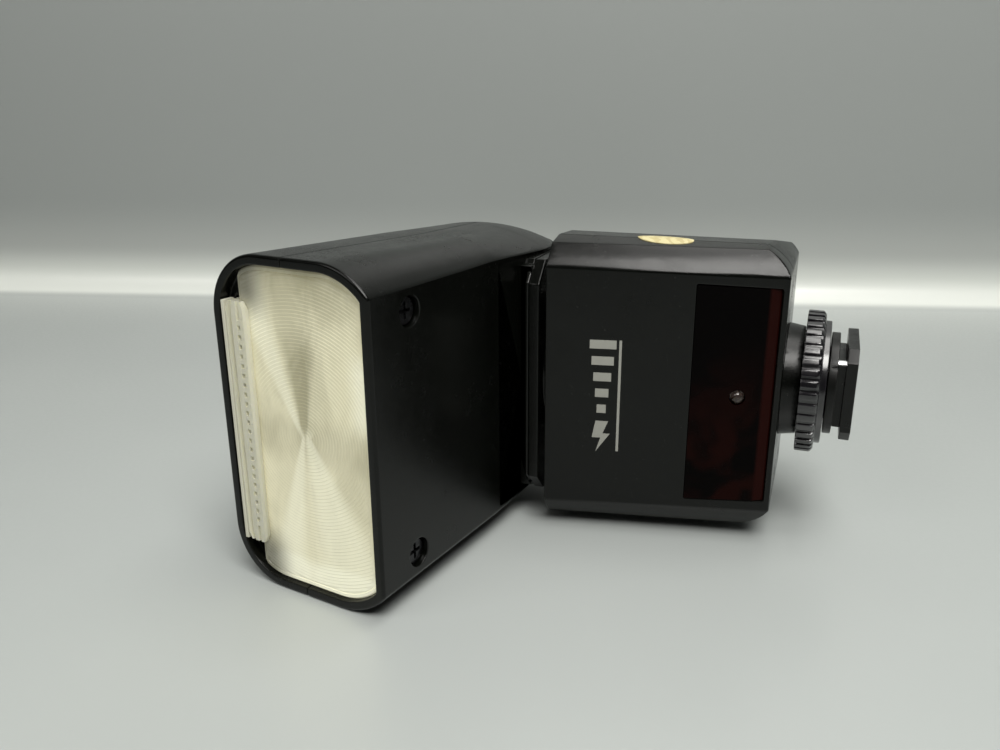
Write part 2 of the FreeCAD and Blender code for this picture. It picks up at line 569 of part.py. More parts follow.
def half_outline(loss, inset, top):
    """Heights and half widths around one side of the head, from its underside to its top."""
    low_r = LOW_RADIUS - inset
    top_r = TOP_RADIUS - inset
    side = HEAD_HALF - inset - loss
    start_q = inset
    start_h = LOW_CENTRE[1] + math.sqrt(low_r ** 2 - (LOW_CENTRE[0] - start_q) ** 2)
    mid_q = LOW_CENTRE[0] - 5.0
    mid_h = LOW_CENTRE[1] + math.sqrt(low_r ** 2 - 5.0 ** 2) - 0.6 * loss
    top_h = TOP_CENTRE[1] - loss
    rise = math.pi / 2
    if top is not None:
        rise = math.asin((top - TOP_CENTRE[0]) / top_r)
    end_q = TOP_CENTRE[0] + top_r * math.sin(rise)
    end_h = top_h + top_r * math.cos(rise)
    bend = (TOP_CENTRE[0] + top_r * math.sin(rise / 2), top_h + top_r * math.cos(rise / 2))
    return [(start_q, start_h), (mid_q, mid_h), (LOW_CENTRE[0], side), (TOP_CENTRE[0], side),
            bend, (end_q, end_h)]


def head_section(s, inset, top=None):
    """Closed outline of the head in front of its hinge, cut flat at a height if asked."""
    up = [V(s, q, h) for q, h in half_outline(HEAD_TAPER * max(s, 0.0), inset, top)]
    low = [V(s, q, -h) for q, h in half_outline(0.0, inset, top)]
    edges = [arc(up[0], up[1], up[2]), line(up[2], up[3]), arc(up[3], up[4], up[5]),
             line(up[5], low[5]), arc(low[5], low[4], low[3]), line(low[3], low[2]),
             arc(low[2], low[1], low[0]), line(low[0], up[0])]
    return Part.Wire(edges)


def cheek_half(q):
    """Half width of the hinge cheeks at a height above the underside."""
    return CHEEK_HALF - CHEEK_RADIUS + math.sqrt(CHEEK_RADIUS ** 2 - (q - END_Q) ** 2)


def cheek_section(s):
    """Outline where the head's rounded rear end begins, with the same edges as above."""
    stations = (0.0, 5.5, LOW_CENTRE[0], END_Q, TOP_CENTRE[0], 29.0, HEAD_THICK)
    up = [V(s, q, cheek_half(q)) for q in stations]
    low = [V(s, q, -cheek_half(q)) for q in stations]
    edges = [arc(up[0], up[1], up[2]), arc(up[2], up[3], up[4]), arc(up[4], up[5], up[6]),
             line(up[6], low[6]), arc(low[6], low[5], low[4]), arc(low[4], low[3], low[2]),
             arc(low[2], low[1], low[0]), line(low[0], up[0])]
    return Part.Wire(edges)


def head_outer():
    straight = Part.makeLoft([head_section(0, 0), head_section(HEAD_FRONT, 0)], True, True)
    waist = Part.makeLoft([head_section(HEAD_FRONT, 0), cheek_section(PIVOT_S)], True, True)
    rim = cheek_half(0)
    ends = [V(PIVOT_S, END_Q, CHEEK_HALF), V(PIVOT_S, 5.5, cheek_half(5.5)), V(PIVOT_S, 0, rim),
            V(PIVOT_S, 0, -rim), V(PIVOT_S, 5.5, -cheek_half(5.5)), V(PIVOT_S, END_Q, -CHEEK_HALF)]
    edges = [arc(ends[0], ends[1], ends[2]), line(ends[2], ends[3]), arc(ends[3], ends[4], ends[5]),
             line(ends[5], ends[0])]
    rear = Part.Face(Part.Wire(edges)).revolve(V(PIVOT_S, END_Q, 0), V(0, 0, 1), 180)
    return straight.fuse([waist, rear])


CAVITY_END = 42.0
SLOT_TOP = 29.4               # top of the gap that the turret turns in
INDEX_S = 38.9                # shallow step in the underside that carries the tilt index
INDEX_DEPTH = 0.5
PANEL_Q = (29.6, 30.8)        # wide panel plate
PANEL_HALF = 22.6
CARD_Q = (31.35, 32.05)       # bounce card
CARD_HALF = 19.6
LIP_S = (-0.25, 2.2)          # finger bars of the panel and the card, just inside the rim
HEADER_S = (2.3, 6.3)         # bridge above the lens with the two slots
LENS_S = (0.9, 3.1)
LENS_TOP = 28.6


def head_shells():
    cavity = Part.makeLoft([head_section(0, HEAD_WALL), head_section(CAVITY_END, HEAD_WALL)],
                           True, True)
    turret_gap = box((UNDERSIDE_END, 90), (-5, SLOT_TOP), (-YOKE_HALF, YOKE_HALF))
    wires = rod(3.5, V(35, 15, 0), V(50, 15, 0))
    axle = rod(3.0, V(PIVOT_S, PIVOT_Q, -27.6), V(PIVOT_S, PIVOT_Q, 27.6))
    index_step = box((INDEX_S, 60), (-1, INDEX_DEPTH), (-YOKE_HALF, YOKE_HALF))
    shell = head_outer().cut([cavity, turret_gap, wires, axle, index_step])

    lower = shell.common(box((-5, 99), (-5, SEAM_Q), (-40, 40)))
    upper = shell.common(box((-5, 99), (SEAM_Q, 50), (-40, 40)))
    header = Part.Face(head_section(HEADER_S[0], HEAD_WALL - 0.1))
    header = header.extrude(V(HEADER_S[1] - HEADER_S[0], 0, 0))
    header = header.common(box((-1, 9), (LENS_TOP + 0.15, 40), (-40, 40)))
    upper = upper.fuse(header)
    slots = [box((-5, 9), (PANEL_Q[0] - 0.1, PANEL_Q[1] + 0.1), (-PANEL_HALF - 0.2, PANEL_HALF + 0.2)),
             box((-5, 9), (CARD_Q[0] - 0.1, CARD_Q[1] + 0.1), (-CARD_HALF - 0.2, CARD_HALF + 0.2))]
    upper = upper.cut(slots)

    bosses = [rod(3.6, V(SCREW_S, 1.9, z), V(SCREW_S, 7.0, z)) for z in (-SCREW_Z, SCREW_Z)]
    holes = []
    for z in (-SCREW_Z, SCREW_Z):
        holes.append(rod(RECESS_RADIUS, V(SCREW_S, -1, z), V(SCREW_S, 2.6, z)))
        holes.append(rod(1.1, V(SCREW_S, 0, z), V(SCREW_S, 9, z)))
    lower = lower.fuse(bosses).cut(holes)
    return lower, upper


def make_head_screws():
    screws = []
    for z in (-SCREW_Z, SCREW_Z):
        head = rod(2.3, V(SCREW_S, 1.0, z), V(SCREW_S, 2.6, z))
        shank = rod(1.05, V(SCREW_S, 2.6, z), V(SCREW_S, 8.0, z))
        drive = [box((SCREW_S - 1.5, SCREW_S + 1.5), (0, 1.9), (z - 0.3, z + 0.3)),
                 box((SCREW_S - 0.3, SCREW_S + 0.3), (0, 1.9), (z - 1.5, z + 1.5))]
        screws.append(head.fuse(shank).cut(drive))
    save("head_screws", head_frame(Part.makeCompound(screws)))


REFLECTOR_Q = 17.9
REFLECTOR_HALF = 8.2
REFLECTOR_DEPTH = 11.5
CARRIAGE_S = (12.0, 27.0)
CARRIAGE_Q = (8.4, 27.4)
CARRIAGE_HALF = 25.2
TUBE_S = 22.4
TUBE_HALF = 20.9
RAIL_Z = 26.6
LUG_WIDTH = 1.3
SCREW_Q = 5.4


def half_ellipse(depth, half, z_half):
    """Solid trough with its mouth towards the lens."""
    mouth = CARRIAGE_S[0] + 0.6
    top = V(mouth, REFLECTOR_Q + half, -z_half)
    bottom = V(mouth, REFLECTOR_Q - half, -z_half)
    curve = Part.BSplineCurve()
    points = []
    for step in range(9):
        turn = math.pi * step / 8
        points.append(V(mouth + depth * math.sin(turn), REFLECTOR_Q + half * math.cos(turn), -z_half))
    curve.interpolate(points)
    face = Part.Face(Part.Wire([curve.toShape(), line(bottom, top)]))
    return face.extrude(V(0, 0, 2 * z_half))


def make_optics():
    lens = Part.Face(head_section(LENS_S[0], HEAD_WALL + 0.15, LENS_TOP))
    save("fresnel_lens", head_frame(lens.extrude(V(LENS_S[1] - LENS_S[0], 0, 0))))

    frame = box(CARRIAGE_S, CARRIAGE_Q, (-CARRIAGE_HALF, CARRIAGE_HALF))
    frame = frame.cut(box((0, CARRIAGE_S[1] - 1.2), (CARRIAGE_Q[0] + 1.2, CARRIAGE_Q[1] - 1.2),
                          (-CARRIAGE_HALF + 1.2, CARRIAGE_HALF - 1.2)))
    lugs = box((16, 24), (CARRIAGE_Q[0] + 6, CARRIAGE_Q[0] + 10), (CARRIAGE_HALF, RAIL_Z + LUG_WIDTH))
    nut = box((18, 24), (SCREW_Q - 1.9, CARRIAGE_Q[0]), (-3, 3))
    frame = frame.fuse([lugs, mirror_z(lugs), nut])
    rail_q = CARRIAGE_Q[0] + 8
    holes = [rod(0.9 + GAP, V(0, rail_q, z), V(60, rail_q, z)) for z in (-RAIL_Z, RAIL_Z)]
    holes.append(rod(1.0 + GAP, V(0, SCREW_Q, 0), V(60, SCREW_Q, 0)))
    save("zoom_carriage", head_frame(frame.cut(holes)))

    z_half = CARRIAGE_HALF - 1.3
    trough = half_ellipse(REFLECTOR_DEPTH, REFLECTOR_HALF, z_half)
    inside = half_ellipse(REFLECTOR_DEPTH - 0.6, REFLECTOR_HALF - 0.6, z_half)
    save("reflector", head_frame(trough.cut(inside)))
    axis = [V(TUBE_S - 2, REFLECTOR_Q, z) for z in (-TUBE_HALF, TUBE_HALF)]
    save("flash_tube", head_frame(tube(2.1, 1.4, axis[0], axis[1])))
    caps = [rod(2.1, axis[1], axis[1] + V(0, 0, 2.6))]
    caps.append(mirror_z(caps[0]))
    save("tube_electrodes", head_frame(Part.makeCompound(caps)))

    rails = [rod(0.9, V(LENS_S[1] + 0.3, rail_q, z), V(CAVITY_END, rail_q, z))
             for z in (-RAIL_Z, RAIL_Z)]
    save("zoom_rails", head_frame(Part.makeCompound(rails)))
    save("zoom_screw", head_frame(rod(1.0, V(9.0, SCREW_Q, 0), V(31.0, SCREW_Q, 0))))
    save("zoom_motor", head_frame(rod(3.3, V(31.2, SCREW_Q, 0), V(41.6, SCREW_Q, 0))))
    save("main_capacitor", head_frame(rod(6.2, V(35.4, 18.0, -21), V(35.4, 18.0, 21))))
    save("head_board", head_frame(box((29.0, 41.5), (25.2, 26.4), (-24, 24))))


LIP_Q = (26.6, 28.2)          # low edge of the panel's lip and the top of its corner chamfers
LIP_CHAMFER = 1.6
BAR_TOP = 31.15
EDGE_Q = (31.25, 32.0)        # finger edge of the bounce card
PANEL_END = 38.5
CARD_END = 37.0


def make_panels():
    tray = box((HEADER_S[1] + 0.1, CAVITY_END - 0.2), (28.2, 29.3), (-25.5, 25.5))
    save("card_tray", head_frame(tray))
    plate = box((LIP_S[1], PANEL_END), PANEL_Q, (-PANEL_HALF, PANEL_HALF))
    neck = LENS_TOP + 0.1
    bar = box(LIP_S, (neck, BAR_TOP), (-PANEL_HALF, PANEL_HALF))
    narrow = PANEL_HALF - LIP_CHAMFER
    lip = prism([V(LIP_S[0], LIP_Q[0], -narrow), V(LIP_S[0], LIP_Q[0], narrow),
                 V(LIP_S[0], LIP_Q[1], PANEL_HALF), V(LIP_S[0], neck, PANEL_HALF),
                 V(LIP_S[0], neck, -PANEL_HALF), V(LIP_S[0], LIP_Q[1], -PANEL_HALF)],
                V(LENS_S[0] - 0.1 - LIP_S[0], 0, 0))
    save("wide_panel", head_frame(plate.fuse([bar, lip])))
    card = box((LIP_S[1], CARD_END), CARD_Q, (-CARD_HALF, CARD_HALF))
    edge = box(LIP_S, EDGE_Q, (-PANEL_HALF, PANEL_HALF))
    save("bounce_card", head_frame(card.fuse(edge)))


def make_head():
    lower, upper = head_shells()
    save("head_lower_shell", head_frame(lower))
    save("head_upper_shell", head_frame(upper))
    make_head_screws()
    pin = rod(3.0, V(PIVOT_S, PIVOT_Q, 18.0), V(PIVOT_S, PIVOT_Q, 27.6))
    save("tilt_pins", head_frame(pair(pin)))
    make_optics()
    make_panels()


make_control_body()
make_battery_parts()
make_battery_door()
make_control_panel()
make_sockets()
make_foot()
make_turret()
make_head()
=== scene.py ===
"""Looks of the speedlight flash: refined casings, optics, print, controls, materials and stage."""

import json
import math

import bmesh
import bpy
from mathutils import Matrix, Vector, geometry


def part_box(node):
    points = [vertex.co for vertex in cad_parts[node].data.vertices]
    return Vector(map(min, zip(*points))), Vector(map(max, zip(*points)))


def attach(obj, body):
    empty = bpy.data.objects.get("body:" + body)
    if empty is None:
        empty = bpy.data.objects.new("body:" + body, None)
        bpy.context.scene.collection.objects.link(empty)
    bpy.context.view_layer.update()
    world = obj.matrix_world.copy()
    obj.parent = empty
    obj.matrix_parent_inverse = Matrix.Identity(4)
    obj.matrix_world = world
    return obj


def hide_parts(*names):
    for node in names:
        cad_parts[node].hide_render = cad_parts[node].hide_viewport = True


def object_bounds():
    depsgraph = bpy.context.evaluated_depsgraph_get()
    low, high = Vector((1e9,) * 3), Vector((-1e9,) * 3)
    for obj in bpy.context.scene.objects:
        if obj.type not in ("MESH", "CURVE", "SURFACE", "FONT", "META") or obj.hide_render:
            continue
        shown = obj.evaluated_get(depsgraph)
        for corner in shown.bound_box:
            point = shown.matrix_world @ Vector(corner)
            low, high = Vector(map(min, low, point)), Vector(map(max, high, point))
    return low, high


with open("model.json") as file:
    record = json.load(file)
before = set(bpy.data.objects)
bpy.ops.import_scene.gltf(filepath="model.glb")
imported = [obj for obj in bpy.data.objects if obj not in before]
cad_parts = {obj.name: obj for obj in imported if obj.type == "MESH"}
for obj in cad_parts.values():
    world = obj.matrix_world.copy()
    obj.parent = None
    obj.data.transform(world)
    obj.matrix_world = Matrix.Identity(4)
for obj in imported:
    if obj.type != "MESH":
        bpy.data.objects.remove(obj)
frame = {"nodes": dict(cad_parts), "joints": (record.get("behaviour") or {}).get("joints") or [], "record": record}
CAD_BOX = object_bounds()

MM = 0.001
RECORD = frame["record"]
JOINTS = {joint["name"]: joint for joint in frame["joints"]}
MOUNTS = {mount["name"]: mount for mount in RECORD["mounts"]}
SLOTS = {part["node"]: part["material_slot"] for part in RECORD["subparts"]}
BODY_OF = {node: body for body, nodes in RECORD["behaviour"]["bodies"].items() for node in nodes}
MID_HEIGHT = (CAD_BOX[1][2] - CAD_BOX[0][2]) / 2      # the flash's plane of symmetry

# Three frames in millimetres. X of HEAD runs back from the lens face and Y up from the
# underside. X of FACE and BENCH runs towards the foot and Y back into the body. Z is up in all
# three, from the plane of symmetry. Each is placed by one point that the record knows.
REST_IN_HEAD = (19.0, 14.1)       # the side mount
HINGE_IN_FACE = (24.0, 21.4)      # the battery door's hinge
RING_ON_BENCH = (49.0, 22.63)     # the lock ring's axis


# ---- frames -----------------------------------------------------------------------------
def frame_matrix(along, place, known):
    """Matrix from a frame's millimetres to metres: X along, Y a quarter turn on, Z up."""
    x = Vector((along[0], along[1], 0)).normalized()
    y = Vector((-x.y, x.x, 0))
    origin = Vector((place[0], place[1], MID_HEIGHT)) - (x * known[0] + y * known[1]) * MM
    columns = [x * MM, y * MM, Vector((0, 0, MM)), origin]
    rows = [[column[i] for column in columns] for i in range(3)]
    return Matrix(rows + [[0, 0, 0, 1]])


ZOOM_AXIS = JOINTS["zoom_travel"]["axis"]
HEAD = frame_matrix([-c for c in ZOOM_AXIS], MOUNTS["side_rest"]["pos_m"], REST_IN_HEAD)
FACE = frame_matrix(JOINTS["battery_door_swing"]["axis"],
                    JOINTS["battery_door_swing"]["pos_m"], HINGE_IN_FACE)
BENCH = frame_matrix(JOINTS["lock_ring_turn"]["axis"], JOINTS["lock_ring_turn"]["pos_m"],
                     RING_ON_BENCH)


# ---- material graphs --------------------------------------------------------------------
class Graph:
    """Short-hand for one material's node tree. Coordinates are the piece's own, in metres."""

    def __init__(self, name):
        self.material = bpy.data.materials.new(name)
        self.material.use_nodes = True
        self.tree = self.material.node_tree
        self.tree.nodes.clear()
        self.coords = self.add("ShaderNodeTexCoord").outputs["Object"]

    def add(self, kind, **settings):
        node = self.tree.nodes.new(kind)
        for key, value in settings.items():
            setattr(node, key, value)
        return node

    def put(self, socket, value):
        """Links a socket to another one, or sets its value."""
        if isinstance(value, bpy.types.NodeSocket):
            self.tree.links.new(value, socket)
        elif socket.type == "RGBA" and len(value) == 3:
            socket.default_value = (*value, 1.0)
        else:
            socket.default_value = value

    def mapped(self, scale=(1, 1, 1), turn=(0, 0, 0), matrix=None):
        """The piece's coordinates, in a frame's millimetres if one is given, then scaled."""
        coords = self.coords
        if matrix is not None:
            place = self.add("ShaderNodeMapping")
            inverse = matrix.inverted()
            place.inputs["Location"].default_value = inverse.to_translation()
            place.inputs["Rotation"].default_value = inverse.to_euler()
            place.inputs["Scale"].default_value = inverse.to_scale()
            self.put(place.inputs["Vector"], coords)
            coords = place.outputs[0]
        node = self.add("ShaderNodeMapping")
        node.inputs["Scale"].default_value = scale
        node.inputs["Rotation"].default_value = turn
        self.put(node.inputs["Vector"], coords)
        return node.outputs[0]

    def noise(self, size_mm, detail=2.0, roughness=0.5, distortion=0.0, coords=None, unit=MM):
        node = self.add("ShaderNodeTexNoise")
        self.put(node.inputs["Vector"], coords or self.coords)
        node.inputs["Scale"].default_value = 1 / (size_mm * unit)
        node.inputs["Detail"].default_value = detail
        node.inputs["Roughness"].default_value = roughness
        node.inputs["Distortion"].default_value = distortion
        return node.outputs["Fac"]

    def cells(self, size_mm, feature="F1"):
        node = self.add("ShaderNodeTexVoronoi", feature=feature)
        self.put(node.inputs["Vector"], self.coords)
        node.inputs["Scale"].default_value = 1 / (size_mm * MM)
        return node.outputs["Distance"]

    def hairlines(self, stretch, turn=(0, 0, 0), low=0.62, strength=1.0):
        """Fine scratches that run along the least stretched axis."""
        lines = self.noise(1.0, 2.0, 0.6, 0.0, self.mapped(stretch, turn), 1.0)
        return self.remap(lines, low, 0.70, 0.0, strength)

    def math(self, operation, a, b=0.0, clamp=False):
        node = self.add("ShaderNodeMath", operation=operation, use_clamp=clamp)
        self.put(node.inputs[0], a)
        self.put(node.inputs[1], b)
        return node.outputs[0]

    def times(self, a, b):
        return self.math("MULTIPLY", a, b)

    def plus(self, a, b, clamp=False):
        return self.math("ADD", a, b, clamp)

    def remap(self, value, low, high, to_low=0.0, to_high=1.0):
        """The value's range, eased into another one."""
        node = self.add("ShaderNodeMapRange", interpolation_type="SMOOTHSTEP")
        self.put(node.inputs["Value"], value)
        for key, number in (("From Min", low), ("From Max", high), ("To Min", to_low),
                            ("To Max", to_high)):
            self.put(node.inputs[key], number)
        return node.outputs["Result"]

    def mix(self, factor, a, b):
        node = self.add("ShaderNodeMix", data_type="RGBA")
        self.put(node.inputs["Factor"], factor)
        self.put(node.inputs[6], a)
        self.put(node.inputs[7], b)
        return node.outputs[2]

    def band(self, value, centre, half, soft):
        """1 within half of the centre, falling to 0 over a soft border."""
        away = self.math("ABSOLUTE", self.math("SUBTRACT", value, centre))
        return self.remap(away, half, half + soft, 1.0, 0.0)

    def split(self, coords):
        """The X, Y and Z sockets of a vector."""
        node = self.add("ShaderNodeSeparateXYZ")
        self.put(node.inputs[0], coords)
        return node.outputs

    def edge_mask(self, radius_mm):
        """1 on the outer edges of the piece and 0 on its flats."""
        bevel = self.add("ShaderNodeBevel", samples=4)
        bevel.inputs["Radius"].default_value = radius_mm * MM
        shape = self.add("ShaderNodeNewGeometry")
        dot = self.add("ShaderNodeVectorMath", operation="DOT_PRODUCT")
        self.put(dot.inputs[0], bevel.outputs["Normal"])
        self.put(dot.inputs[1], shape.outputs["Normal"])
        return self.remap(dot.outputs["Value"], 0.995, 0.86, 0.0, 1.0)

    def bump(self, height, depth_mm, strength=1.0, normal=None):
        node = self.add("ShaderNodeBump")
        node.inputs["Distance"].default_value = depth_mm * MM
        node.inputs["Strength"].default_value = strength
        self.put(node.inputs["Height"], height)
        if normal is not None:
            self.put(node.inputs["Normal"], normal)
        return node.outputs["Normal"]

    def shared(self, share, first, second):
        """The first shader, with a share of the second."""
        node = self.add("ShaderNodeMixShader")
        for socket, value in zip(node.inputs, (share, first, second)):
            self.put(socket, value)
        return node.outputs[0]

    def finish(self, shader):
        out = self.add("ShaderNodeOutputMaterial")
        self.put(out.inputs["Surface"], shader)
        return self.material

    def principled(self, **values):
        node = self.add("ShaderNodeBsdfPrincipled")
        for key, value in values.items():
            self.put(node.inputs[key.replace("_", " ")], value)
        return node.outputs[0]


def smudges(graph, low, high):
    """Roughness that varies where the surface has been handled."""
    broad = graph.noise(17.0, 3.0, 0.6, 0.6)
    fine = graph.noise(1.9, 2.0, 0.6)
    blend = graph.times(broad, graph.plus(fine, 0.5))
    return graph.remap(blend, 0.3, 0.75, low, high)


def moulded(name, colour, rough, grain_mm=0.16, grain_depth=0.012, wear=0.5, specular=0.28):
    """Injection moulded plastic: spark-eroded grain, handling marks and polished edges."""
    graph = Graph(name)
    edge = graph.edge_mask(0.35)
    tone = graph.noise(9.0, 3.0, 0.55)
    dust = graph.remap(graph.noise(0.33, 1.0, 0.5), 0.735, 0.80, 0.0, 0.6)
    pale = tuple(min(1.0, c * 2.2 + 0.012) for c in colour)
    dark = tuple(c * 0.78 for c in colour)
    base = graph.mix(tone, dark, colour)
    base = graph.mix(graph.times(edge, wear), base, pale)
    base = graph.mix(graph.times(dust, 0.25), base, DUST)
    roughness = smudges(graph, rough[0], rough[1])
    roughness = graph.math("SUBTRACT", roughness, graph.times(edge, 0.10 * wear), True)
    grain = graph.plus(graph.noise(grain_mm, 2.0, 0.7), graph.times(graph.cells(grain_mm * 1.7), 0.5))
    normal = graph.bump(grain, grain_depth, 0.8)
    normal = graph.bump(graph.noise(11.0, 2.0), 0.05, 0.35, normal)
    shader = graph.principled(Base_Color=base, Roughness=roughness, Normal=normal,
                              Specular_IOR_Level=specular)
    return graph.finish(shader)


def polished(name, colour, rough, scratches=0.3, metallic=0.0):
    """Glossy plastic or plated metal with hairline scratches and faint waviness."""
    graph = Graph(name)
    hair = graph.hairlines((30, 260, 900), (0.3, 0.5, 0.9), strength=scratches)
    tone = graph.noise(6.0, 3.0)
    base = graph.mix(tone, tuple(c * 0.85 for c in colour), colour)
    roughness = graph.plus(smudges(graph, rough[0], rough[1]), graph.times(hair, 0.25), True)
    normal = graph.bump(hair, 0.004, 0.6)
    normal = graph.bump(graph.noise(5.0, 1.0), 0.02, 0.3, normal)
    shader = graph.principled(Base_Color=base, Roughness=roughness, Metallic=metallic,
                              Normal=normal)
    return graph.finish(shader)


def turned_metal(name, colour, rough, axis=(0, 0, 1)):
    """Turned or drawn metal with fine tool lines round or along one axis."""
    graph = Graph(name)
    scale = tuple(60 if a else 2600 for a in axis)
    lines = graph.noise(1.0, 3.0, 0.7, 0.0, graph.mapped(scale), 1.0)
    tone = graph.noise(2.2, 3.0)
    base = graph.mix(tone, tuple(c * 0.8 for c in colour), colour)
    roughness = graph.remap(lines, 0.3, 0.75, rough[0], rough[1])
    normal = graph.bump(lines, 0.006, 0.7)
    shader = graph.principled(Base_Color=base, Roughness=roughness, Metallic=1.0, Normal=normal)
    return graph.finish(shader)


def clear_plastic(name, tint, body_share, rough, milk):
    """Clear moulding that lets light through and scatters a share of it."""
    graph = Graph(name)
    haze = graph.noise(4.0, 3.0, 0.6)
    streak = graph.noise(1.0, 2.0, 0.5, 0.0, graph.mapped((40, 40, 400)), 1.0)
    roughness = graph.remap(haze, 0.3, 0.7, rough[0], rough[1])
    normal = graph.bump(streak, 0.01, 0.4)
    glass = graph.principled(Base_Color=tint, Roughness=roughness, Transmission_Weight=1.0,
                             IOR=1.49, Normal=normal)
    cloudy = graph.mix(haze, tuple(c * 0.88 for c in milk), milk)
    body = graph.principled(Base_Color=cloudy, Roughness=0.28, Normal=normal, Coat_Weight=0.5,
                            Subsurface_Weight=0.3, Subsurface_Radius=(0.004, 0.004, 0.003))
    return graph.finish(graph.shared(body_share, glass, body))


# ---- materials --------------------------------------------------------------------------
BLACK = (0.0022, 0.0026, 0.0019)              # the casings
DEEP_BLACK = (0.0050, 0.0053, 0.0047)         # foot, dial and latch
PURPLE_BLACK = (0.0070, 0.0062, 0.0080)       # the lock ring
DUST = (0.22, 0.22, 0.20)


def window_material():
    """Dark red tinted window, polished outside, with the dim hardware behind it; painted light makes it redder
    towards the bottom and at the foot end, and near black at the top.
    """
    graph = Graph("window_red")
    along, _, height = graph.split(graph.mapped(matrix=FACE))
    # painted light: redder at the foot end's bevel and towards the bottom, near black at the top
    painted_lit_end = graph.remap(along, 41.2, 42.0, 0.0, 1.0)
    inner = graph.remap(graph.noise(9.0, 2.0, 0.5, 0.4), 0.42, 0.62, 0.0, 1.0)
    low = graph.remap(height, 14.0, -14.0, 0.0, 1.0)
    base = graph.mix(graph.times(inner, low), (0.0005, 0.0001, 0.0001),
                     (0.0090, 0.0014, 0.0008))
    base = graph.mix(painted_lit_end, base, (0.0150, 0.0026, 0.0018))
    hair = graph.hairlines((80, 90, 900), low=0.64)
    roughness = graph.plus(smudges(graph, 0.05, 0.14), graph.times(hair, 0.12))
    normal = graph.bump(graph.noise(14.0, 1.0), 0.03, 0.25)
    shader = graph.principled(Base_Color=base, Roughness=roughness, Normal=normal,
                              Specular_IOR_Level=0.05, IOR=1.5)
    return graph.finish(shader)


RING_CENTRE = 16.0            # the lens's optical centre, above the head's underside
LENS_BODY_SHARE = 0.84        # share of the lens that looks milky rather than clear
# lens colours: a milky base, a dim tone and a corner tone of painted shade, and a bright tone of painted light
LENS_MILK = (0.80, 0.765, 0.56)
LENS_DIM = (0.40, 0.375, 0.245)
LENS_BRIGHT = (0.97, 0.96, 0.78)
LENS_CORNER_SHADE = (0.10, 0.095, 0.065)


def lens_tone(graph):
    """What the prisms gather from the reflector, painted in: fans of light and shade about the centre, bright
    patches low down and painted shade in the upper corners.
    """
    _, above, across = graph.split(graph.mapped(matrix=HEAD))
    times, plus = graph.times, graph.plus
    height = graph.math("ABSOLUTE", across)
    lean = graph.math("DIVIDE", graph.math("SUBTRACT", above, RING_CENTRE), plus(height, 2.0))
    haze = graph.noise(7.0, 3.0, 0.6, 0.6, graph.mapped((1, 1, 0.4)))
    upper = graph.remap(across, -1.0, 2.5, 0.0, 1.0)
    lower = graph.math("SUBTRACT", 1.0, upper)

    streak = times(graph.band(lean, 0.42, 0.05, 0.16), upper)
    rays = plus(graph.band(lean, 0.22, 0.06, 0.14), graph.band(lean, -0.34, 0.14, 0.30))
    rays = times(rays, lower)
    patch = times(graph.remap(above, 7.0, 2.2, 0.0, 1.0), graph.band(across, 9.5, 3.5, 5.0))
    low_edge = graph.remap(across, -22.5, -26.0, 0.0, 1.0)
    bright = plus(times(plus(streak, rays), 0.55), plus(patch, times(low_edge, 0.8)), True)

    plume = times(graph.band(lean, 0.02, 0.10, 0.16),
                  times(upper, graph.remap(across, 21.0, 12.0, 0.25, 1.0)))
    dim = plus(times(plume, 0.75), graph.remap(haze, 0.62, 0.30, 0.0, 0.35))
    dim = plus(dim, graph.remap(across, 17.0, 29.0, 0.0, 0.45))
    dim = plus(dim, times(graph.band(across, -1.0, 1.0, 5.0), 0.3), True)

    # painted shade in the lens's upper corners
    corner = times(graph.remap(above, 20.5, 27.0, 0.0, 1.0),
                   graph.remap(height, 18.0, 25.0, 0.0, 1.0))
    milk = graph.mix(bright, graph.mix(dim, LENS_MILK, LENS_DIM), LENS_BRIGHT)
    return graph.mix(times(corner, 0.85), milk, LENS_CORNER_SHADE)


def lens_material():
    """Prismatic lens: warm clear moulding with painted light and shade from the reflector in its colour, and a
    faint painted glow.
    """
    graph = Graph("lens_prisms")
    milk = lens_tone(graph)
    smear = graph.remap(graph.noise(3.0, 3.0, 0.7), 0.45, 0.75, 0.0, 1.0)
    roughness = graph.remap(smear, 0.0, 1.0, 0.10, 0.24)
    normal = graph.bump(graph.noise(0.5, 1.0), 0.010, 0.4)
    glass = graph.principled(Base_Color=(0.98, 0.97, 0.88), Roughness=roughness, IOR=1.49,
                             Transmission_Weight=1.0, Normal=normal)
    # painted light: the milky share glows faintly, standing for light the reflector sends back through the lens
    body = graph.principled(Base_Color=milk, Roughness=0.20, Normal=normal, Coat_Weight=0.6,
                            Coat_Roughness=0.07, Emission_Color=milk, Emission_Strength=0.22)
    return graph.finish(graph.shared(LENS_BODY_SHARE, glass, body))


def sticker_material():
    """Cream paper seal with a faint gold woven ground and crushed edges."""
    graph = Graph("paper_seal")
    weave = graph.add("ShaderNodeTexWave", wave_type="RINGS", rings_direction="Y")
    graph.put(weave.inputs["Vector"], graph.coords)
    weave.inputs["Scale"].default_value = 600.0
    weave.inputs["Distortion"].default_value = 5.0
    fibre = graph.noise(0.12, 3.0, 0.7)
    base = graph.mix(graph.remap(weave.outputs["Fac"], 0.55, 0.75, 0.0, 0.55),
                     (0.80, 0.72, 0.40), (0.50, 0.38, 0.12))
    base = graph.mix(graph.times(fibre, 0.35), base, (0.62, 0.55, 0.33))
    roughness = graph.remap(fibre, 0.3, 0.7, 0.38, 0.62)
    shader = graph.principled(Base_Color=base, Roughness=roughness,
                              Normal=graph.bump(fibre, 0.02, 0.6))
    return graph.finish(shader)


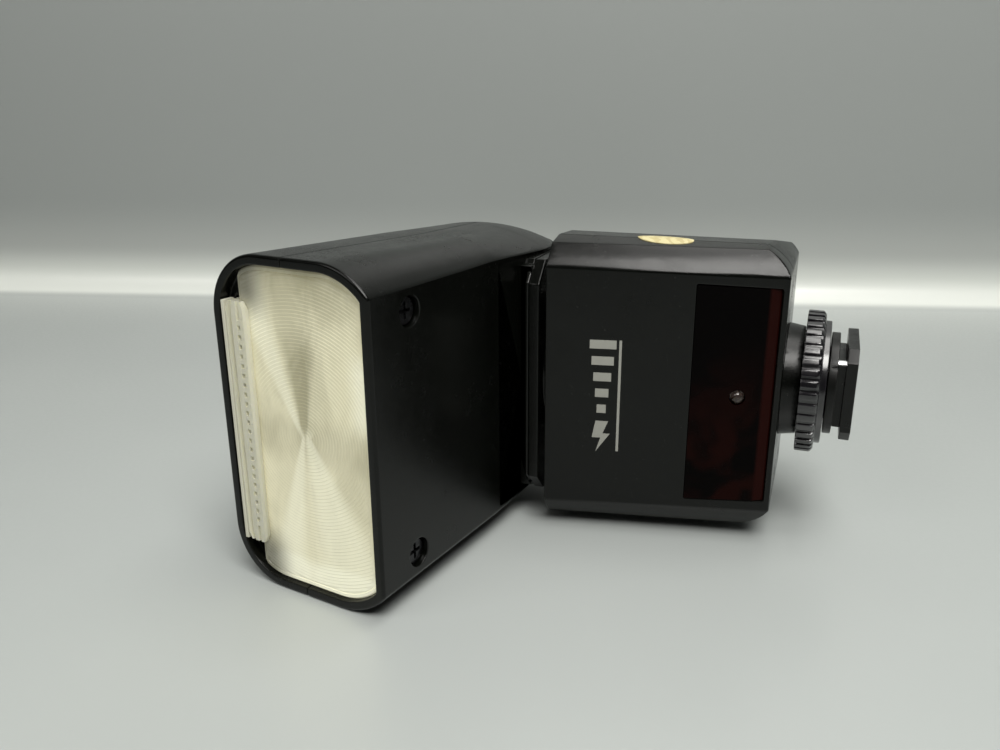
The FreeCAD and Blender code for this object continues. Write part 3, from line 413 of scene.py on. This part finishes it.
def display_material():
    """Unlit liquid crystal panel under a clear window: grey-green with a dark printed frame."""
    graph = Graph("display_glass")
    along, _, height = graph.split(graph.mapped(matrix=BENCH))
    side = graph.math("ABSOLUTE", height)
    edge = graph.math("MAXIMUM", graph.remap(side, 14.4, 14.6, 0.0, 1.0),
                      graph.math("MAXIMUM", graph.remap(along, 6.3, 6.1, 0.0, 1.0),
                                 graph.remap(along, 19.2, 19.4, 0.0, 1.0)))
    cell = graph.mix(graph.noise(7.0, 2.0), (0.145, 0.165, 0.120), (0.185, 0.205, 0.150))
    dots = graph.remap(graph.cells(0.34), 0.30, 0.36, 0.0, 0.12)
    cell = graph.mix(dots, cell, (0.10, 0.12, 0.09))
    base = graph.mix(edge, cell, (0.006, 0.006, 0.007))
    hair = graph.hairlines((700, 90, 60))
    roughness = graph.plus(smudges(graph, 0.06, 0.16), graph.times(hair, 0.1))
    shader = graph.principled(Base_Color=base, Roughness=roughness, Coat_Weight=0.8,
                              Coat_Roughness=0.04, Normal=graph.bump(hair, 0.003, 0.5))
    return graph.finish(shader)


def cell_material():
    """Printed sleeve of an AA cell: plain bands round it, bare steel at both ends."""
    graph = Graph("cell_sleeve")
    height = graph.split(graph.coords)[2]
    centre = (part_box("battery_cell_1")[0].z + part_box("battery_cell_1")[1].z) / 2
    from_middle = graph.math("ABSOLUTE", graph.math("SUBTRACT", height, centre))
    bare = graph.remap(from_middle, 0.02345, 0.0236, 0.0, 1.0)
    band = graph.remap(from_middle, 0.0140, 0.0142, 0.0, 1.0)
    base = graph.mix(band, (0.08, 0.20, 0.42), (0.60, 0.62, 0.64))
    base = graph.mix(graph.times(graph.noise(1.6, 3.0), 0.3), base, (0.05, 0.09, 0.16))
    base = graph.mix(bare, base, (0.55, 0.55, 0.54))
    shader = graph.principled(Base_Color=base, Metallic=bare,
                              Roughness=smudges(graph, 0.18, 0.35))
    return graph.finish(shader)


def board_material():
    """Green solder mask with copper traces under it."""
    graph = Graph("circuit_board")
    tracks = graph.cells(2.6, "DISTANCE_TO_EDGE")
    line = graph.remap(tracks, 0.05, 0.09, 1.0, 0.0)
    base = graph.mix(line, (0.012, 0.085, 0.035), (0.045, 0.20, 0.075))
    base = graph.mix(graph.times(graph.noise(3.0, 3.0), 0.4), base, (0.01, 0.05, 0.03))
    shader = graph.principled(Base_Color=base, Roughness=smudges(graph, 0.25, 0.42),
                              Normal=graph.bump(line, 0.03, 0.7))
    return graph.finish(shader)


def print_material(name, colour):
    """Screen print: slightly uneven ink edge to edge with pin holes."""
    graph = Graph(name)
    holes = graph.remap(graph.noise(0.14, 2.0, 0.7), 0.66, 0.74, 0.0, 0.5)
    tone = graph.noise(1.4, 2.0)
    base = graph.mix(tone, tuple(c * 0.86 for c in colour), colour)
    base = graph.mix(holes, base, tuple(c * 0.35 for c in colour))
    shader = graph.principled(Base_Color=base, Roughness=graph.remap(tone, 0.3, 0.7, 0.42, 0.6),
                              Normal=graph.bump(holes, 0.01, 0.5))
    return graph.finish(shader)


MATERIALS = {
    "body_black": moulded("body_plastic", BLACK, (0.19, 0.28)),
    "foot_black": moulded("foot_plastic", DEEP_BLACK, (0.26, 0.42), 0.22, 0.008, 0.7),
    "ring_black": moulded("ring_plastic", PURPLE_BLACK, (0.15, 0.24), 0.25, 0.005, 0.9, 1.0),
    "latch_black": moulded("latch_plastic", DEEP_BLACK, (0.34, 0.48), 0.2, 0.010, 0.8),
    "dial_black": moulded("dial_plastic", DEEP_BLACK, (0.26, 0.40), 0.2, 0.008, 0.8),
    "inner_plastic": moulded("inner_plastic", (0.02, 0.02, 0.02), (0.42, 0.6), 0.3, 0.01, 0.4),
    "key_rubber": moulded("key_rubber", (0.022, 0.022, 0.023), (0.52, 0.68), 0.12, 0.008, 0.5),
    "port_rubber": moulded("port_rubber", (0.016, 0.016, 0.016), (0.58, 0.74), 0.12, 0.01, 0.4),
    "capacitor_sleeve": moulded("capacitor_sleeve", (0.015, 0.015, 0.03), (0.25, 0.4), 0.8,
                                0.01, 0.4),
    "test_lamp": polished("lamp_button", (0.16, 0.012, 0.010), (0.18, 0.30)),
    "lamp_clear": clear_plastic("lamp_clear", (0.70, 0.60, 0.55), 0.22, (0.04, 0.10),
                                (0.16, 0.11, 0.09)),
    "panel_clear": clear_plastic("panel_clear", (1.0, 0.985, 0.86), 0.74, (0.05, 0.16),
                                 (0.96, 0.94, 0.76)),
    "tube_glass": clear_plastic("tube_glass", (0.97, 0.98, 0.98), 0.18, (0.01, 0.05),
                                (0.8, 0.8, 0.78)),
    "card_white": moulded("card_white", (0.80, 0.78, 0.64), (0.34, 0.5), 0.3, 0.006, 0.1),
    "reflector_mirror": polished("reflector_mirror", (0.93, 0.91, 0.84), (0.10, 0.22), 0.5, 1.0),
    "electrode_steel": turned_metal("electrode_steel", (0.55, 0.55, 0.54), (0.25, 0.4)),
    "steel": turned_metal("steel", (0.60, 0.60, 0.59), (0.18, 0.34)),
    "motor_steel": turned_metal("motor_steel", (0.52, 0.52, 0.53), (0.24, 0.42), (0, 1, 0)),
    "usb_steel": turned_metal("usb_steel", (0.58, 0.58, 0.57), (0.2, 0.36)),
    "contact_nickel": polished("contact_nickel", (0.74, 0.72, 0.67), (0.12, 0.26), 0.6, 1.0),
    "contact_gold": polished("contact_gold", (0.86, 0.62, 0.22), (0.14, 0.28), 0.6, 1.0),
    "pin_chrome": polished("pin_chrome", (0.86, 0.86, 0.86), (0.05, 0.12), 0.4, 1.0),
    "screw_black": polished("screw_black", (0.045, 0.045, 0.048), (0.22, 0.36), 0.6, 0.9),
    "red_window": window_material(),
    "lens_clear": lens_material(),
    "sticker_cream": sticker_material(),
    "lcd_glass": display_material(),
    "lcd_grey": polished("display_module", (0.16, 0.18, 0.15), (0.2, 0.35)),
    "cell_sleeve": cell_material(),
    "board_green": board_material(),
}
PRINT_GREY = print_material("print_grey", (0.38, 0.38, 0.34))
PRINT_WHITE = print_material("print_white", (0.62, 0.62, 0.56))


# ---- mesh helpers -----------------------------------------------------------------------
SHARP_ANGLE = math.radians(32)            # edges that turn more than this stay visible
RIM_NODES = ("head_lower_shell", "head_upper_shell")
RIM_ROUNDING = 0.6
RIM_SIDE = 34.0                           # longer edges are the joint between the two shells
SAME_PLACE = 1e-4                         # frame millimetres
SAME_PLACE_CAD = 1e-7                     # metres


def link(name, bm, material, body, matrix=None):
    """Turns a bmesh into a piece that rides on a body; matrix is its frame, if it isn't in metres."""
    close = SAME_PLACE_CAD if matrix is None else SAME_PLACE
    bmesh.ops.remove_doubles(bm, verts=bm.verts, dist=close)
    if matrix is not None:
        bmesh.ops.transform(bm, matrix=matrix, verts=bm.verts)
    bmesh.ops.recalc_face_normals(bm, faces=bm.faces)
    mesh = bpy.data.meshes.new(name)
    bm.to_mesh(mesh)
    bm.free()
    piece = bpy.data.objects.new(name, mesh)
    bpy.context.scene.collection.objects.link(piece)
    mesh.materials.append(material)
    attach(piece, body)
    return piece


def apply_modifiers(piece):
    """Replaces the piece's mesh by its evaluated one."""
    graph = bpy.context.evaluated_depsgraph_get()
    mesh = bpy.data.meshes.new_from_object(piece.evaluated_get(graph))
    mesh.transform(piece.matrix_world)
    piece.modifiers.clear()
    piece.data = mesh
    piece.matrix_world = Matrix.Identity(4)


def smooth(mesh):
    """Smooth shading with the real edges kept sharp."""
    bm = bmesh.new()
    bm.from_mesh(mesh)
    for face in bm.faces:
        face.smooth = True
    for edge in bm.edges:
        edge.smooth = len(edge.link_faces) == 2 and edge.calc_face_angle(0) < SHARP_ANGLE
    bm.to_mesh(mesh)
    bm.free()


def round_edges(piece, width_mm):
    """Rounds the piece's real edges."""
    bevel = piece.modifiers.new("rounding", "BEVEL")
    bevel.width = width_mm * MM
    bevel.segments = 2
    bevel.limit_method = "ANGLE"
    bevel.angle_limit = SHARP_ANGLE
    bevel.use_clamp_overlap = False
    bevel.miter_outer = "MITER_ARC"
    apply_modifiers(piece)
    smooth(piece.data)
    weighted = piece.modifiers.new("normals", "WEIGHTED_NORMAL")
    weighted.keep_sharp = True
    weighted.weight = 80


def round_rim(bm):
    """Rounds the head's outer front edge more than the rest."""
    inverse = HEAD.inverted()
    spots = {vert: inverse @ vert.co for vert in bm.verts}
    front = min(spot.x for spot in spots.values())
    ring = [vert for vert, spot in spots.items() if spot.x < front + 0.01]
    hull = geometry.convex_hull_2d([(spots[vert].y, spots[vert].z) for vert in ring])
    outer = {ring[i] for i in hull}
    rim = [edge for edge in bm.edges if all(vert in outer for vert in edge.verts)
           and abs(spots[edge.verts[0]].y - spots[edge.verts[1]].y) < RIM_SIDE
           and edge.is_manifold and edge.calc_face_angle(0) > 1.0]
    bmesh.ops.bevel(bm, geom=rim, offset=RIM_ROUNDING * MM, segments=4, profile=0.5,
                    affect="EDGES", clamp_overlap=False)


def refined(node, width_mm):
    """A copy of a CAD node with its real edges rounded, which stands for the node."""
    bm = bmesh.new()
    bm.from_mesh(frame["nodes"][node].data)
    bmesh.ops.remove_doubles(bm, verts=bm.verts, dist=1e-6)
    bmesh.ops.dissolve_limit(bm, angle_limit=math.radians(0.4), verts=bm.verts, edges=bm.edges)
    if node in RIM_NODES:
        round_rim(bm)
    piece = link(node + "_finished", bm, MATERIALS[SLOTS[node]], BODY_OF[node])
    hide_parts(node)
    round_edges(piece, width_mm)


# ---- optics -----------------------------------------------------------------------------
RING_PITCH = 0.62             # of the lens's prisms
RING_RELIEF = 0.055
RING_REACH = 40.0             # past the lens's farthest corner
RING_SLOPE = 0.82             # share of a prism that slopes
LENS_RIM = 0.9                # plain border round the prisms
LENS_STEPS = 288              # directions round the lens
TOOTH_PITCH = 1.72            # of the teeth and beads along the wide panel's bar
PANEL_RIBS = 36


def node_points(node, matrix):
    """The CAD node's vertices in a frame's millimetres."""
    inverse = matrix.inverted()
    return [inverse @ vertex.co for vertex in frame["nodes"][node].data.vertices]


def convex_outline(points):
    """Corners of the convex hull of 2-D points, in order."""
    return [points[i] for i in geometry.convex_hull_2d(points)]


def reach(outline, centre, direction):
    """Distance from the centre to the outline along a direction."""
    far = centre + direction * 200
    hits = [geometry.intersect_line_line_2d(centre, far, a, b)
            for a, b in zip(outline, outline[1:] + outline[:1])]
    return min((hit - centre).length for hit in hits if hit is not None)


def lens_piece():
    """Lens with concentric prisms on its face, a raised rim and a polished edge."""
    points = node_points("fresnel_lens", HEAD)
    front = min(p.x for p in points)
    back = max(p.x for p in points)
    outline = convex_outline([Vector((p.y, p.z)) for p in points])
    centre = Vector((RING_CENTRE, 0.0))
    valley = front + RING_RELIEF + 0.02
    # rim section: distance inside the outline, depth
    rim = ((LENS_RIM, front + 0.25), (LENS_RIM - 0.1, front + 0.02), (0.25, front),
           (0.0, front + 0.2), (0.0, back - 0.15), (0.15, back))
    bm = bmesh.new()
    columns = []
    for step in range(LENS_STEPS):
        turn = 2 * math.pi * step / LENS_STEPS
        direction = Vector((math.cos(turn), math.sin(turn)))
        limit = reach(outline, centre, direction)
        section = []
        for ring in range(int(RING_REACH / RING_PITCH)):
            for share, lift in ((0.0, 0.0), (RING_SLOPE, RING_RELIEF)):
                radius = (ring + share + 0.15) * RING_PITCH
                inside = radius < limit - LENS_RIM
                section.append((min(radius, limit - LENS_RIM), valley - (lift if inside else 0.0)))
        section += [(limit - inset, depth) for inset, depth in rim]
        column = []
        for radius, depth in section:
            spot = centre + direction * radius
            column.append(bm.verts.new((depth, spot.x, spot.y)))
        columns.append(column)
    for column, after in zip(columns, columns[1:] + columns[:1]):
        for i in range(len(column) - 1):
            bm.faces.new((column[i], column[i + 1], after[i + 1], after[i]))
    bm.faces.new([column[0] for column in columns])
    bm.faces.new([column[-1] for column in columns])
    piece = link("lens_prisms", bm, MATERIALS["lens_clear"], "head", HEAD)
    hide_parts("fresnel_lens")
    smooth(piece.data)


def sweep_section(bm, section, half, chamfer):
    """Closed bar of an (along, above) section, as far each side of the middle, its ends drawn in."""
    points = [Vector(point) for point in section]
    centre = sum(points, Vector((0, 0))) / len(points)
    loops = []
    for height, scale in ((-half, 0.72), (-half + chamfer, 1.0), (half - chamfer, 1.0), (half, 0.72)):
        loops.append([bm.verts.new((*(centre + (point - centre) * scale), height))
                      for point in points])
    for first, second in zip(loops, loops[1:]):
        for i in range(len(section)):
            j = (i + 1) % len(section)
            bm.faces.new((first[i], first[j], second[j], second[i]))
    bm.faces.new(loops[0][::-1])
    bm.faces.new(loops[-1])


def add_box(bm, low, high):
    """A box between two corners."""
    low, high = Vector(low), Vector(high)
    matrix = Matrix.Translation((low + high) / 2) @ Matrix.Diagonal((*(high - low), 1.0))
    bmesh.ops.create_cube(bm, size=1.0, matrix=matrix)


def levels(values):
    """The distinct values of a stepped solid's vertices, in order."""
    return sorted({round(value, 2) for value in values})


def panel_piece():
    """Wide panel: a finger bar with a moulded channel and teeth, on a ribbed diffusing plate."""
    points = node_points("wide_panel", HEAD)
    front, lip, neck, tip = levels(p.x for p in points)
    low_q, _, step_q, plate_low, plate_high, high_q = levels(p.y for p in points)
    half = max(p.z for p in points)
    bm = bmesh.new()
    bar = [(lip, low_q), (front + 0.4, low_q), (front, low_q + 0.35), (front, low_q + 1.15),
           (front + 0.45, low_q + 1.35), (front + 0.45, low_q + 1.85), (front, low_q + 2.0),
           (front, low_q + 3.1), (front + 0.75, low_q + 3.35), (front + 0.75, high_q - 0.75),
           (front, high_q - 0.45), (front, high_q - 0.15), (front + 0.15, high_q),
           (neck, high_q), (neck, step_q), (lip, step_q)]
    sweep_section(bm, bar, half, 1.5)
    count = int((2 * half - 5) / TOOTH_PITCH)
    for step in range(count):
        z = (step - (count - 1) / 2) * TOOTH_PITCH
        add_box(bm, (front + 0.06, low_q + 1.1, z - 0.45), (front + 0.6, low_q + 2.1, z + 0.45))
        bead = Matrix.Translation((front + 0.16, low_q + 0.62, z + TOOTH_PITCH / 2))
        bmesh.ops.create_uvsphere(bm, u_segments=10, v_segments=6, radius=0.24, matrix=bead)
    add_box(bm, (neck - 0.1, plate_low, -half), (tip, plate_high - 0.25, half))
    rib_half = half / PANEL_RIBS * 0.8
    for step in range(PANEL_RIBS):
        z = (step + 0.5) / PANEL_RIBS * 2 * half - half
        ridge = ((plate_high - 0.3, z - rib_half), (plate_high, z), (plate_high - 0.3, z + rib_half))
        ends = [[bm.verts.new((x, *point)) for point in ridge] for x in (neck + 0.6, tip - 0.6)]
        bm.faces.new(ends[0])
        bm.faces.new(ends[1][::-1])
        for i, j in ((0, 1), (1, 2), (2, 0)):
            bm.faces.new((ends[0][i], ends[1][i], ends[1][j], ends[0][j]))
    piece = link("wide_panel_moulding", bm, MATERIALS["panel_clear"], "wide_panel",
                 HEAD)
    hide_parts("wide_panel")
    smooth(piece.data)


WIRE_TURNS = 9
WIRE_STEPS = 20               # points in one turn
WIRE_WINDING = 2.26           # radius of the winding


def trigger_wire():
    """The wire wound round the flash tube."""
    points = node_points("flash_tube", HEAD)
    s = (min(p.x for p in points) + max(p.x for p in points)) / 2
    q = (min(p.y for p in points) + max(p.y for p in points)) / 2
    half = 0.82 * max(p.z for p in points)
    curve = bpy.data.curves.new("trigger_wire", "CURVE")
    curve.dimensions = "3D"
    curve.bevel_depth = 0.16 * MM
    curve.bevel_resolution = 3
    spline = curve.splines.new("POLY")
    samples = WIRE_TURNS * WIRE_STEPS
    spline.points.add(samples)
    for step in range(samples + 1):
        turn = 2 * math.pi * step / WIRE_STEPS
        place = HEAD @ Vector((s + WIRE_WINDING * math.cos(turn), q + WIRE_WINDING * math.sin(turn),
                               half * (2 * step / samples - 1)))
        spline.points[step].co = (*place, 1.0)
    wire = bpy.data.objects.new("trigger_wire", curve)
    bpy.context.scene.collection.objects.link(wire)
    curve.materials.append(MATERIALS["contact_nickel"])
    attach(wire, "zoom_carriage")


# ---- print and marks --------------------------------------------------------------------
PRINT_THICK = 0.03
SYMBOL_THICK = 0.04
PRINT_SINK = 0.01             # how far a symbol starts below the surface it is on
BOLT = ((-0.16, 0.5), (0.22, 0.5), (0.06, 0.1), (0.28, 0.1), (-0.14, -0.5), (0.0, -0.04),
        (-0.26, -0.04))
KEY_SYMBOLS = (
    ((-0.5, -0.6), (0.5, 0.0), (-0.5, 0.6)),
    ((-0.5, -0.5), (0.5, -0.5), (0.5, 0.5), (-0.5, 0.5)),
    ((-0.55, -0.12), (0.55, -0.12), (0.55, 0.12), (-0.55, 0.12)),
    ((0.5, -0.6), (0.5, 0.6), (-0.5, 0.0)),
)


def polygon_print(bm, points, place, thick=PRINT_THICK):
    """Raises a flat outline; place turns (across, up) and a lift into a frame's millimetres."""
    low = [bm.verts.new(place(x, y, 0.0)) for x, y in points]
    high = [bm.verts.new(place(x, y, thick)) for x, y in points]
    bm.faces.new(low[::-1])
    bm.faces.new(high)
    for i in range(len(points)):
        j = (i + 1) % len(points)
        bm.faces.new((low[i], low[j], high[j], high[i]))


def ring_print(bm, centre, outer, inner, place, steps=24):
    """A flat annulus."""
    around = [(math.cos(2 * math.pi * i / steps), math.sin(2 * math.pi * i / steps))
              for i in range(steps)]
    rows = []
    for radius, lift in ((inner, 0.0), (inner, PRINT_THICK), (outer, PRINT_THICK), (outer, 0.0)):
        rows.append([bm.verts.new(place(centre[0] + radius * x, centre[1] + radius * y, lift))
                     for x, y in around])
    for a, b in zip(rows, rows[1:] + rows[:1]):
        for i in range(steps):
            j = (i + 1) % steps
            bm.faces.new((a[i], a[j], b[j], b[i]))


def shifted(points, centre, size):
    """An outline of unit size, scaled and moved to its centre."""
    return [(centre[0] + x * size, centre[1] + y * size) for x, y in points]


def bar_outline(low, high):
    """Corners of an upright rectangle between two corners."""
    return [low, (high[0], low[1]), high, (low[0], high[1])]


def front_print():
    """A plain generic mark on the front: a bolt, a row of bars that grow, and a thin rule."""
    bm = bmesh.new()

    def place(x, y, lift):
        return 11.3 + x, -0.005 - lift, y

    polygon_print(bm, shifted(BOLT, (0.0, -9.6), 6.6), place)
    for step in range(5):
        low = -4.6 + step * 3.3
        half = 0.9 + 0.42 * step
        polygon_print(bm, bar_outline((-half, low), (half, low + 1.75)), place)
    polygon_print(bm, bar_outline((3.1, -12.6), (3.6, 10.4)), place)
    link("front_print", bm, PRINT_GREY, "control_body", FACE)


def head_marks():
    """Raised bolt moulded beside the upper screw and the pale index line near the hinge."""
    bm = bmesh.new()
    polygon_print(bm, shifted(BOLT, (10.6, 15.4), 4.6), lambda x, y, lift: (x, -lift, y), 0.12)
    link("moulded_mark", bm, MATERIALS["body_black"], "head", HEAD)
    bm = bmesh.new()
    add_box(bm, (40.6, 0.44, -2.0), (43.6, 0.49, -1.72))
    link("tilt_index", bm, PRINT_GREY, "head", HEAD)


def bench_middle(node):
    """Middle of a CAD node's box in the control panel's frame."""
    low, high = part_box(node)
    return BENCH.inverted() @ ((low + high) / 2)


def bench_surface(node):
    """How far out of the control panel a CAD node reaches, less the sink of a symbol on it."""
    return (BENCH.inverted() @ Vector(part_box(node)[1])).y - PRINT_SINK


def button_symbol(name, outline, size, node):
    """A flat white symbol on one button."""
    middle = bench_middle(node)
    surface = bench_surface("key_1")
    bm = bmesh.new()
    polygon_print(bm, shifted(outline, (middle.x, middle.z), size),
                  lambda x, y, lift: (x, surface + lift, y), SYMBOL_THICK)
    link(name, bm, PRINT_WHITE, node, BENCH)


def panel_prints():
    """Generic symbols on the control panel: a bolt, arrows, a square and a ring."""
    for number, outline in enumerate(KEY_SYMBOLS, 1):
        button_symbol(f"key_symbol_{number}", outline, 1.3, f"key_{number}")
    button_symbol("test_symbol", BOLT, 2.6, "test_button")
    surface = bench_surface("lcd_window")
    power = bench_middle("power_switch")
    bm = bmesh.new()

    def place(x, y, lift):
        return power.x - 3.0 + x, surface + lift, power.z + y

    ring_print(bm, (0.0, -2.6), 0.62, 0.42, place)
    polygon_print(bm, bar_outline((-0.5, 3.2), (0.5, 3.4)), place)
    link("power_print", bm, PRINT_WHITE, "control_body", BENCH)


# ---- casings and hardware ---------------------------------------------------------------
ROUNDED = {
    "head_lower_shell": 0.35, "head_upper_shell": 0.35, "front_shell": 0.28, "rear_shell": 0.28,
    "swivel_turret": 0.25, "battery_door": 0.15, "af_window": 0.12, "foot_neck": 0.15,
    "lock_ring": 0.20, "shoe_base": 0.15, "foot_plate": 0.18, "power_switch": 0.14,
    "port_cover": 0.12, "bounce_card": 0.12, "card_tray": 0.12, "zoom_carriage": 0.12,
    "battery_cradle": 0.15, "control_board": 0.08, "head_board": 0.08, "lcd_window": 0.15,
    "lcd_module": 0.12, "base_screws": 0.08, "head_screws": 0.10, "tilt_pins": 0.2,
    "swivel_shaft": 0.15, "retaining_ring": 0.08, "swivel_washer": 0.08, "battery_cell_1": 0.35,
    "battery_cell_2": 0.35, "battery_contacts": 0.06, "door_contact": 0.08, "door_latch": 0.06,
    "door_hinge_pin": 0.08, "locking_pin": 0.2, "shoe_contacts": 0.08, "sync_jack": 0.08,
    "usb_socket": 0.06, "select_dial": 0.04, "zoom_rails": 0.1, "zoom_screw": 0.1,
    "zoom_motor": 0.3, "main_capacitor": 0.6, "tube_electrodes": 0.2, "flash_tube": 0.12,
    "reflector": 0.06,
}
for node, width in ROUNDED.items():
    refined(node, width)
for node in ("af_lamp", "seal_sticker", "set_button", "test_button", "key_1", "key_2", "key_3",
             "key_4"):
    materials = frame["nodes"][node].data.materials
    materials.clear()
    materials.append(MATERIALS[SLOTS[node]])
lens_piece()
panel_piece()
trigger_wire()
front_print()
head_marks()
panel_prints()


# ---- stage, light, camera ---------------------------------------------------------------
WALL = 0.217                  # distance of the backdrop behind the object
BEND = 0.012                  # radius between table and backdrop
BEND_STEPS = 16
WALL_TURN = 15.2              # turn of the backdrop about the vertical, degrees
WALL_HEIGHT = 1.4
SHEET_REACH = 2.0             # towards the camera
SHEET_HALF = 2.2              # half the width
TABLE_TONES = ((0.445, 0.475, 0.465), (0.495, 0.525, 0.51))
# painted light on the backdrop above the table, bright at its foot and darker above: height it starts at, height
# it is full at, colour
WALL_PAINTED_LIGHT = (
    (0.0, 0.002, (0.84, 0.87, 0.82)),
    (0.006, 0.023, (0.47, 0.49, 0.47)),
    (0.014, 0.045, (0.34, 0.36, 0.35)),
)


def stage_sheet():
    """Pale table that sweeps up into a backdrop with painted light, bright at its foot and darker above; seen from
    behind it is clear.
    """
    graph = Graph("stage_sheet")
    tone = graph.noise(90.0, 2.0)
    fine = graph.noise(1.2, 2.0)
    height = graph.split(graph.coords)[2]
    base = graph.mix(tone, *TABLE_TONES)
    # painted light on the backdrop by height: a bright band at its foot, darker towards the top
    for low, high, colour in WALL_PAINTED_LIGHT:
        base = graph.mix(graph.remap(height, low, high, 0.0, 1.0), base, colour)
    shader = graph.principled(Base_Color=base, Roughness=graph.remap(fine, 0.3, 0.7, 0.30, 0.38),
                              Specular_IOR_Level=0.75, Normal=graph.bump(fine, 0.01, 0.3))
    behind = graph.add("ShaderNodeNewGeometry").outputs["Backfacing"]
    clear = graph.add("ShaderNodeBsdfTransparent").outputs[0]
    material = graph.finish(graph.shared(behind, shader, clear))
    profile = [(-SHEET_REACH, 0.0), (WALL - BEND, 0.0)]
    for step in range(1, BEND_STEPS + 1):
        turn = math.pi / 2 * step / BEND_STEPS
        profile.append((WALL - BEND + BEND * math.sin(turn), BEND - BEND * math.cos(turn)))
    profile.append((WALL, WALL_HEIGHT))
    turn = Matrix.Rotation(math.radians(WALL_TURN), 4, "Z")
    bm = bmesh.new()
    rows = []
    for along, height in profile:
        rows.append([bm.verts.new(turn @ Vector((across, along, height)))
                     for across in (-SHEET_HALF, SHEET_HALF)])
    for a, b in zip(rows, rows[1:]):
        bm.faces.new((a[0], a[1], b[1], b[0])).smooth = True
    mesh = bpy.data.meshes.new("stage_sheet")
    bm.to_mesh(mesh)
    bm.free()
    sheet = bpy.data.objects.new("stage_sheet", mesh)
    bpy.context.scene.collection.objects.link(sheet)
    mesh.materials.append(material)


LIGHT_COLOUR = (1.0, 0.985, 0.95)


def soft_light(name, place, aim, size, power):
    """Rectangular lamp at a place, turned towards the aim; metres and watts."""
    light = bpy.data.lights.new(name, "AREA")
    light.shape = "RECTANGLE"
    light.size, light.size_y = size
    light.energy = power
    light.color = LIGHT_COLOUR
    holder = bpy.data.objects.new(name, light)
    bpy.context.scene.collection.objects.link(holder)
    holder.location = place
    holder.rotation_euler = (Vector(aim) - Vector(place)).to_track_quat("-Z", "Y").to_euler()


VIEW_TURN = 21.062            # turn of the view about the vertical, degrees
VIEW_DROP = 17.957            # how far it looks down, degrees
VIEW_ROLL = 0.388             # turn of the picture in its own plane, degrees
VIEW_PLACE = (0.04498, -0.15169, 0.08593)


def view_camera():
    """The photo's own viewpoint."""
    camera = bpy.data.cameras.new("view")
    camera.sensor_width = 36.0
    camera.lens = 30.805
    camera.clip_start = 0.005
    holder = bpy.data.objects.new("view", camera)
    bpy.context.scene.collection.objects.link(holder)
    turn = (Matrix.Rotation(math.radians(VIEW_TURN), 4, "Z")
            @ Matrix.Rotation(math.radians(90 - VIEW_DROP), 4, "X")
            @ Matrix.Rotation(math.radians(-VIEW_ROLL), 4, "Z"))
    holder.matrix_world = Matrix.Translation(VIEW_PLACE) @ turn
    bpy.context.scene.camera = holder


def on_view(across, away, height):
    """A place on the view's own axes, from the middle of the object."""
    turn = Matrix.Rotation(math.radians(VIEW_TURN), 4, "Z")
    return turn @ Vector((across, away, height))


stage_sheet()
soft_light("key", on_view(0.09, -0.42, 0.66), (0.0, -0.02, 0.03), (0.40, 0.32), 4.9)
soft_light("left", (-0.35, -0.50, 0.55), (-0.03, -0.02, 0.03), (0.36, 0.30), 0.9)
soft_light("overhead", on_view(0.16, -0.02, 0.80), (0.02, 0.02, 0.02), (0.50, 0.36), 2.6)
view_camera()
world = bpy.data.worlds.new("room")
world.use_nodes = True
background = world.node_tree.nodes["Background"].inputs
background["Color"].default_value = (0.80, 0.83, 0.82, 1.0)
background["Strength"].default_value = 0.03
bpy.context.scene.world = world
bpy.context.scene.view_settings.view_transform = "Standard"
